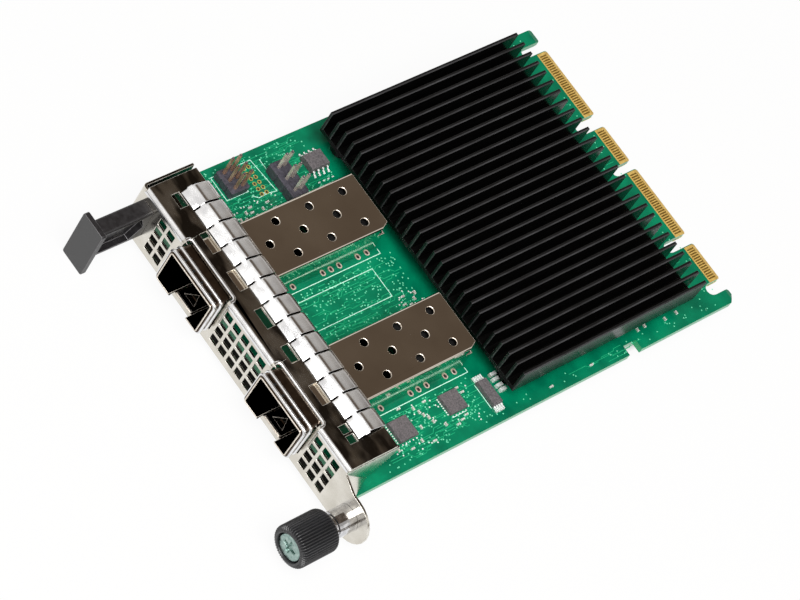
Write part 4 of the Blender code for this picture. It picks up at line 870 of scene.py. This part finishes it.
FRONT_BEAD, REAR_BEAD = -61.98, -60.32
HOLE_Y, HOLE_HALF, HOLE_LOW, HOLE_HIGH = -61.16, 0.26, 9.80, 9.91
HOLE_OFFSETS = (-4.1, -1.3, 1.5, 4.4)
FRONT_BAND = [(-62.35, 0.05), (-62.35, 0.25), (-60.75, 0.28)]
REAR_BAND = [(-60.75, 0.05), (-60.75, 0.28), (-59.4, 0.30), (-57.75, 0.25), (-57.75, 0.05)]
for number, centre in enumerate(PORTS, 1):
    band = joined(sleeve(centre, FRONT_BAND, True), sleeve(centre, REAR_BAND, False))
    collar = add_piece(f"port_{number}_sleeve", band, collar_painted_reflection)
    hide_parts(f"port_{number}_collar")
    beads = joined(
        sleeve(centre, bead_profile(FRONT_BEAD), True), sleeve(centre, bead_profile(REAR_BEAD), False)
    )
    add_piece(f"port_{number}_beads", beads, tin_finish_and_highlight, smooth=True)
# painted shade: black plates standing in for the sleeve's holes
shade_plate = block((-HOLE_HALF, -HOLE_HALF, HOLE_LOW), (HOLE_HALF, HOLE_HALF, HOLE_HIGH))
hole_spots = [(centre + offset, HOLE_Y) for centre in PORTS for offset in HOLE_OFFSETS]
add_piece("sleeve_holes_painted_shade", copies(shade_plate, hole_spots), black_plastic_and_shade)


def rod(path, radius, sides=12):
    """A round rod along a level path: rings square to the mean direction at each point."""
    path = np.asarray(path, float)
    along = np.gradient(path, axis=0)
    along /= np.linalg.norm(along, axis=1, keepdims=True)
    sideways = np.stack([-along[:, 1], along[:, 0], np.zeros(len(path))], -1)
    angle = np.arange(sides) * 2 * np.pi / sides
    level, upright = np.cos(angle)[None, :, None], np.sin(angle)[None, :, None]
    reach = radius * (level * sideways[:, None] + upright * (0, 0, 1))
    return (path[:, None] + reach).reshape(-1, 3), grid_faces(len(path), sides, wrap_columns=True)


def notch_path(centre, half=7.9, y=-57.19, front=-58.6, corner=0.9, z=9.99):
    """The notch's rim: back from the fold, round a corner, across, round a corner and forward."""
    quarter = np.linspace(0, np.pi / 2, 7)
    left = [
        (centre - half + corner * (1 - np.cos(angle)), y - corner * (1 - np.sin(angle)), z)
        for angle in quarter
    ]
    right = [(2 * centre - x, along, z) for x, along, z in reversed(left)]
    return [(centre - half, front, z)] + left + right + [(centre + half, front, z)]


NOTCH_RIM = 0.42
rims = [rod(notch_path(centre), NOTCH_RIM) for centre in PORTS]
# painted highlight: the faceplate's rolled notch edge gets the bright spring finish
add_piece("notch_rims", joined(*rims), tin_finish_and_highlight, smooth=True)

# %% [markdown]
# The faceplate's fold is rounder than its flat sides, and it gets the springs' brighter finish, a
# painted highlight along the fold. It is a quarter-round skin over the fold, between the notches.

# %% Fold of the faceplate
FOLD_Y, FOLD_Z, FOLD_RADIUS = -58.2, 9.2, 1.015
fold_angle = np.linspace(0, np.pi / 2, 13)
fold_y = FOLD_Y - FOLD_RADIUS * np.cos(fold_angle)
fold_z = FOLD_Z + FOLD_RADIUS * np.sin(fold_angle)
folds = []
for left, right in ((-35.1, -22.2), (-5.8, 8.9), (25.2, 35.3)):
    edge_points = [(x, y, z) for y, z in zip(fold_y, fold_z) for x in (right, left)]
    folds.append((edge_points, grid_faces(len(fold_y), 2)[:, ::-1]))
add_piece("fold_skin", joined(*folds), tin_finish_and_highlight, smooth=True)

# %% [markdown]
# ## Header pins
#
# The pins of both headers are square wire, 0.56 mm across, with pyramid tips. They are made as one
# shaft with a tip and copied to the rows. They cover the plain pins of the solids, and stand a
# hair above them.

# %% Square pins
PIN_HALF, PIN_TIP, PIN_TAPER, PIN_ABOVE = 0.28, 0.35, 0.18, 0.02


def square_pins(node, columns, rows_apart, base_height, finish):
    """Pins on a header: columns evenly along its X, two rows a distance apart about its middle Y."""
    low, high = board_box(node)
    cell = (high[0] - low[0]) / columns
    middle = (low[1] + high[1]) / 2
    shoulder = high[2] - PIN_TIP
    pin = joined(
        block((-PIN_HALF, -PIN_HALF, base_height), (PIN_HALF, PIN_HALF, shoulder)),
        block((-PIN_HALF, -PIN_HALF, shoulder), (PIN_HALF, PIN_HALF, high[2] + PIN_ABOVE), PIN_TAPER),
    )
    spots = [
        (low[0] + (column + 0.5) * cell, middle + side * rows_apart / 2)
        for column in range(columns) for side in (-1, 1)
    ]
    add_piece(f"{node}_pins", copies(pin, spots), finish)


square_pins("small_pin_header", 3, 2.0, 1.9, pin_copper)
square_pins("large_pin_header", 3, 1.5, 2.4, pin_metal)

# %% [markdown]
# ## Knob
#
# A moulded grip has rounded ribs with narrow grooves between them. The radius is worked out round
# the knob: a row of flat-topped waves, made by raising a cosine to a low power. Along the knob the
# waves fade out on the two rounded shoulders. The recess for the screw's head, the web and the
# cavity for the spring close the surface on its inside.

# %% Ribbed knob
KNOB_RIBS, STEPS_PER_RIB = 48, 8
KNOB_RADIUS = 4.65
GROOVE_DEPTH = 0.50
knob_low, knob_high = board_box("thumbscrew_knob")
KNOB_X = (knob_low[0] + knob_high[0]) / 2
KNOB_Z = (knob_low[2] + knob_high[2]) / 2


def ribbed_surface(profile, sides, ribs, depth):
    """A profile of (y, radius, share of groove) carried round the knob's axis.

    The radius at an angle is the profile's radius less the groove: depth times the share times
    a wave that is 0 over most of a rib and rises to 1 in the groove, (1/2 - cos/2) to a power.
    """
    y, radius, share = np.asarray(profile, float).T
    turn = np.arange(sides) * 2 * np.pi / sides
    wave = (0.5 - 0.5 * np.cos(turn * ribs)) ** 1.5
    reach = radius[:, None] - depth * share[:, None] * wave[None, :]
    x, z = KNOB_X + reach * np.cos(turn), KNOB_Z + reach * np.sin(turn)
    points = np.stack([x, np.broadcast_to(y[:, None], reach.shape), z], -1)
    return points.reshape(-1, 3), grid_faces(len(y), sides, wrap_rows=True, wrap_columns=True)


front, back = knob_low[1], knob_high[1]
knob_profile = [
    (front + 1.7, 1.56, 0), (front + 1.7, 3.22, 0), (front + 0.20, 3.24, 0), (front + 0.05, 3.32, 0),
    (front, 3.42, 0), (front + 0.03, 3.60, 0.1), (front + 0.16, 3.95, 0.5), (front + 0.36, 4.32, 0.9),
    (front + 0.60, 4.56, 1), (front + 0.90, KNOB_RADIUS, 1), (back - 1.0, KNOB_RADIUS, 1),
    (back - 0.55, 4.55, 0.8), (back - 0.25, 4.30, 0.4), (back - 0.06, 3.95, 0.1), (back, 3.70, 0),
    (back, 3.11, 0), (front + 4.2, 3.11, 0), (front + 4.2, 1.56, 0),
]
knob_shape = ribbed_surface(knob_profile, KNOB_RIBS * STEPS_PER_RIB, KNOB_RIBS, GROOVE_DEPTH)
knob = add_piece("ribbed_knob", knob_shape, nylon, "thumbscrew", smooth=True)
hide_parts("thumbscrew_knob")

# %% [markdown]
# ## Burrs of the vents
#
# Punching leaves the rim of each vent rolled over into the hole. The roll is what catches the
# light as a bright crescent on the far side. It is a quarter-round profile turned about each
# vent's centre.

# %% Rolled rims
VENT_ROWS = ((-4.03, 25.3), (0.0, 20.75), (4.03, 25.3))
MOUTH_Y, VENT_PITCH, CAGE_TOP = -62.7, 9.1, 9.55
RIM_SIDES = 36
RIM_PROFILE = [(0.87, -0.32), (0.88, -0.20), (0.92, -0.08), (0.98, -0.01), (1.05, 0.012), (1.12, 0.008)]
vent_spots = [
    (centre + x, MOUTH_Y + start + VENT_PITCH * index)
    for centre in PORTS for x, start in VENT_ROWS for index in range(3)
]
vent_rims = copies(turned(RIM_PROFILE, RIM_SIDES), vent_spots, CAGE_TOP)
add_piece("vent_rims", vent_rims, nickel, smooth=True)

# %% [markdown]
# ## Ink, holes and copper on the board
#
# Silk-screen ink is a thin matt film of pale lines that outline the parts. Plated holes show as
# bright rings round a dark disc of painted shade, standing for the hole. Vias, the small holes that
# join layers, lie under the mask as pale green dots, and tracks are faint ribs of lighter green. All
# of them are flat strips and discs a few hundredths of a millimetre above the board, each made once
# and copied.

# %% Inks and platings
ink = simple_finish("silk_screen_ink", "#97dcc2", "#d3f6e8", 0.5, (0.55, 0.7), IOR=1.5)
copper_under_mask = simple_finish("mask_over_copper", "#0f9a67", "#23ab78", 1.0, (0.26, 0.36), IOR=1.53)
via_under_mask = simple_finish("mask_over_via", "#4cc596", "#7fe0b8", 0.6, (0.3, 0.4), IOR=1.53)
pad_tin = simple_finish("tin_solder", "#dde8e2", "#fbfdfc", 0.4, (0.28, 0.42), Metallic=0.2)
# painted shade: dark discs standing in for the insides of open holes
hole_shade = simple_finish("painted_shade_in_holes", "#170d0a", "#2a1a14", 0.3, (0.6, 0.8), IOR=1.5)
ring_plate = simple_finish("tinned_ring", "#c9b9aa", "#efe4da", 0.4, (0.25, 0.40), Metallic=0.5)
ring_gold = simple_finish("gilt_ring", "#a8a04c", "#d8cd7c", 0.4, (0.25, 0.40), Metallic=0.5)

# %% Silk lines
SILK_HEIGHT, SILK_WIDTH = 0.02, 0.17
silk_paths = [
    [(-5.65, -44.5), (-5.65, -13.3), (-6.85, -13.3)],
    [(-3.37, -44.5), (-3.37, -17.4), (3.8, -17.4), (3.8, -44.5)],
    [(25.45, -44.5), (25.45, -13.3), (24.25, -13.3)],
    [(-35.8, -37.2), (-29.8, -37.2), (-29.8, -31.4), (-35.8, -31.4), (-35.8, -37.2)],
    [(-36.0, -29.6), (-36.0, -26.3), (-27.4, -25.4), (-27.7, -27.35), (-27.6, -30.2), (-28.6, -31.3)],
    [(-35.3, -24.3), (-24.9, -24.3)],
    [(28.6, -13.9), (34.6, -13.9)],
    [(32.6, -23.4), (32.6, -19.6)],
]
silk = joined(*[ribbon(path, SILK_WIDTH, SILK_HEIGHT) for path in silk_paths])
add_piece("silk_lines", silk, ink)

# %% Ringed holes
RING_HEIGHT, MIDDLE_HEIGHT = 0.03, 0.025
port_holes = [(x, y) for x in (-6.92, 24.17) for y in (-16.1, -18.6, -23.8, -26.1, -28.3, -36.5)]
pin_holes = [(-34.75 + 1.33 * column, y) for column in range(6) for y in (-29.0, -27.7)]
middles = []
for name, spots, outer, inner, sides, finish, slot in (
    ("port_hole_rings", port_holes, 0.62, 0.34, 20, ring_plate, "cage_nickel"),
    ("pin_hole_rings", pin_holes, 0.50, 0.26, 16, ring_gold, "board_green"),
):
    washer = turned([(outer, RING_HEIGHT), (inner, RING_HEIGHT)], sides)
    add_piece(name, copies(washer, spots), finish)
    middles.append(copies(disc(inner, MIDDLE_HEIGHT, sides), spots))
add_piece("hole_middles", joined(*middles), hole_shade)

# %% [markdown]
# The vias and tracks are drawn at random from a fixed seed, in listed open areas of the board, and
# the vias are kept clear of the solids that cover it. Each track is a straight run with one 45
# degree jog, as a layout program draws it.

# %% Vias and tracks
draw = np.random.default_rng(7)
OPEN_AREAS = [
    ((-37.2, -22.0), (-44.5, -11.0), 330),
    ((-5.0, 9.0), (-44.5, -11.0), 300),
    ((26.0, 36.8), (-44.0, -11.5), 210),
    ((-37.0, 37.0), (44.8, 53.8), 90),
    ((35.0, 37.2), (-10.0, 54.0), 34),
]
COVERING = (
    "small_pin_header", "large_pin_header", "memory_chip", "clock_chip", "regulator_chip_1",
    "regulator_chip_2",
)
COVERED = [board_box(node) for node in COVERING]
VIA_RADIUS, VIA_HEIGHT, VIA_SIDES = 0.17, 0.012, 8
TRACK_WIDTH, TRACK_HEIGHT = 0.13, 0.008


def scattered(areas, margin):
    """Points at random in each area, a range in X and one in Y with a count, clear of the parts."""
    points = np.concatenate([
        np.stack([draw.uniform(*across, count), draw.uniform(*along, count)], -1)
        for across, along, count in areas
    ])
    for low, high in COVERED:
        near = (points > low[:2] - margin) & (points < high[:2] + margin)
        points = points[~near.all(1)]
    return points


vias = copies(disc(VIA_RADIUS, VIA_HEIGHT, VIA_SIDES), scattered(OPEN_AREAS, 0.3))
add_piece("vias", vias, via_under_mask)

tracks = []
for across, along, count in OPEN_AREAS:
    for x, y in zip(draw.uniform(*across, count // 3), draw.uniform(*along, count // 3)):
        run, jog = draw.uniform(1.5, 6.0), draw.choice([-0.9, -0.45, 0.45, 0.9])
        path = np.array([(x, y), (x, y + run), (x + jog, y + run + abs(jog)), (x + jog, y + 1.7 * run)])
        if path[:, 1].max() < along[1] and across[0] < path[-1, 0] < across[1]:
            tracks.append(ribbon(path, TRACK_WIDTH, TRACK_HEIGHT))
add_piece("tracks", joined(*tracks), copper_under_mask)

# %% [markdown]
# ## Smallest parts
#
# Chip capacitors and resistors are bricks with silver ends that turn down over the sides. One is
# built from three slightly tapered blocks and copied, either way round. Pads without a part are
# flat tin rectangles.

# %% Chip parts and pads
BRICK_LENGTH, BRICK_WIDTH, BRICK_HEIGHT = 0.85, 0.42, 0.36
CAP_SHARE, CAP_METAL = 0.24, 0.02


def brick(along):
    """A body and its two end caps, as (body, caps); along is 0 for X and 1 for Y."""
    half, side, cap = BRICK_LENGTH / 2, BRICK_WIDTH / 2, CAP_SHARE * BRICK_LENGTH
    body = block((-half + cap, -side, 0), (half - cap, side, BRICK_HEIGHT), inset=0.03)
    side, top = side + CAP_METAL, BRICK_HEIGHT + CAP_METAL
    ends = joined(
        block((-half, -side, 0), (-half + cap, side, top), inset=0.04),
        block((half - cap, -side, 0), (half, side, top), inset=0.04),
    )
    if along:
        body, ends = (
            (np.asarray(points, float)[:, [1, 0, 2]], np.asarray(faces)[:, ::-1])
            for points, faces in (body, ends)
        )
    return body, ends


BRICKS_X = [
    (-25.3, -38.6), (-24.6, -37.3), (-24.1, -36.0), (-25.6, -35.2), (-24.0, -33.2), (-23.6, -31.9),
    (-25.0, -31.0), (27.2, -30.1), (28.4, -29.4), (29.4, -28.9), (30.3, -28.2), (31.5, -27.9),
    (33.2, -25.7), (34.0, -33.0), (28.0, -41.9), (33.6, -39.1), (31.4, -31.2), (6.3, -13.2),
    (7.4, -14.6), (5.2, -12.3), (8.3, -13.4), (33.9, 29.8), (33.8, 32.0), (34.5, 37.7),
    (34.4, 41.3), (32.4, 49.2), (32.5, 26.0),
]
BRICKS_Y = [
    (-26.4, -33.6), (-25.2, -33.9), (-26.0, -29.2), (-24.2, -28.4), (-23.6, -27.0), (-23.2, -25.4),
    (33.3, -20.1), (33.9, -21.6), (34.4, -23.1), (27.4, -18.2), (28.7, -17.6), (25.9, -33.2),
    (34.6, -36.0), (35.2, -30.4), (26.9, -26.9), (6.7, -16.2), (7.9, -17.4), (4.9, -15.4),
    (8.6, -11.6), (36.1, 14.0), (36.3, 2.0),
]
bodies, caps = [], []
for spots, along in ((BRICKS_X, 0), (BRICKS_Y, 1)):
    body, ends = brick(along)
    bodies.append(copies(body, spots))
    caps.append(copies(ends, spots))
add_piece("chip_part_bodies", joined(*bodies), ceramic)
add_piece("chip_part_caps", joined(*caps), pad_tin)

# %% Pads and solder
LEAD_PITCH = 1.27
pad = block((-0.15, -0.28, 0.0), (0.15, 0.28, 0.09), inset=0.05)
small_pad = block((-0.16, -0.16, 0.0), (0.16, 0.16, 0.07), inset=0.05)
pad_rows = []
for node in ("regulator_chip_1", "regulator_chip_2"):
    low, high = board_box(node)
    steps = np.linspace(low[0] + 0.5, high[0] - 0.5, 8)
    pad_rows += [(x, low[1] - 0.22) for x in steps] + [(x, high[1] + 0.22) for x in steps[::2]]
    pad_rows += [(high[0] + 0.35, y) for y in np.linspace(low[1] + 0.6, high[1] - 0.6, 5)]
memory_low, memory_high = board_box("memory_chip")
memory_pads = [
    (x, y) for x in (memory_high[0] + 0.1, memory_high[0] + 1.5)
    for y in (memory_low[1] + memory_high[1]) / 2 + (np.arange(4) - 1.5) * LEAD_PITCH
]
STRAY_AREAS = (
    ((26.2, 35.8), (-41.0, -15.5), 46),
    ((-28.5, -23.0), (-41.0, -26.0), 26),
    ((3.5, 9.0), (-17.5, -11.2), 22),
)
stray_pads = scattered(STRAY_AREAS, 0.4)
pads = joined(copies(small_pad, pad_rows), copies(pad, memory_pads), copies(small_pad, stray_pads))
add_piece("pads", pads, pad_tin)

# %% [markdown]
# The long chip by the heatsink has wide silver terminals at both ends, and four pale parts stand
# in a row beside it.

# %% Long chip's ends and the row of four
long_low, long_high = board_box("clock_chip")
terminals = [
    block((x, y - 0.2, 0.0), (x + 1.3, y + 0.2, 0.5), inset=0.07)
    for x in (long_low[0] - 0.35, long_high[0] - 0.95)
    for y in np.linspace(long_low[1] + 0.35, long_high[1] - 0.35, 4)
]
add_piece("long_chip_terminals", joined(*terminals), pad_tin)
row_of_four = [(28.3, -8.7), (29.5, -8.9), (31.0, -9.0), (32.1, -8.9)]
pale_part = block((-0.42, -0.85, 0.0), (0.42, 0.85, 0.74), inset=0.06)
add_piece("row_of_four", copies(pale_part, row_of_four), pad_tin)
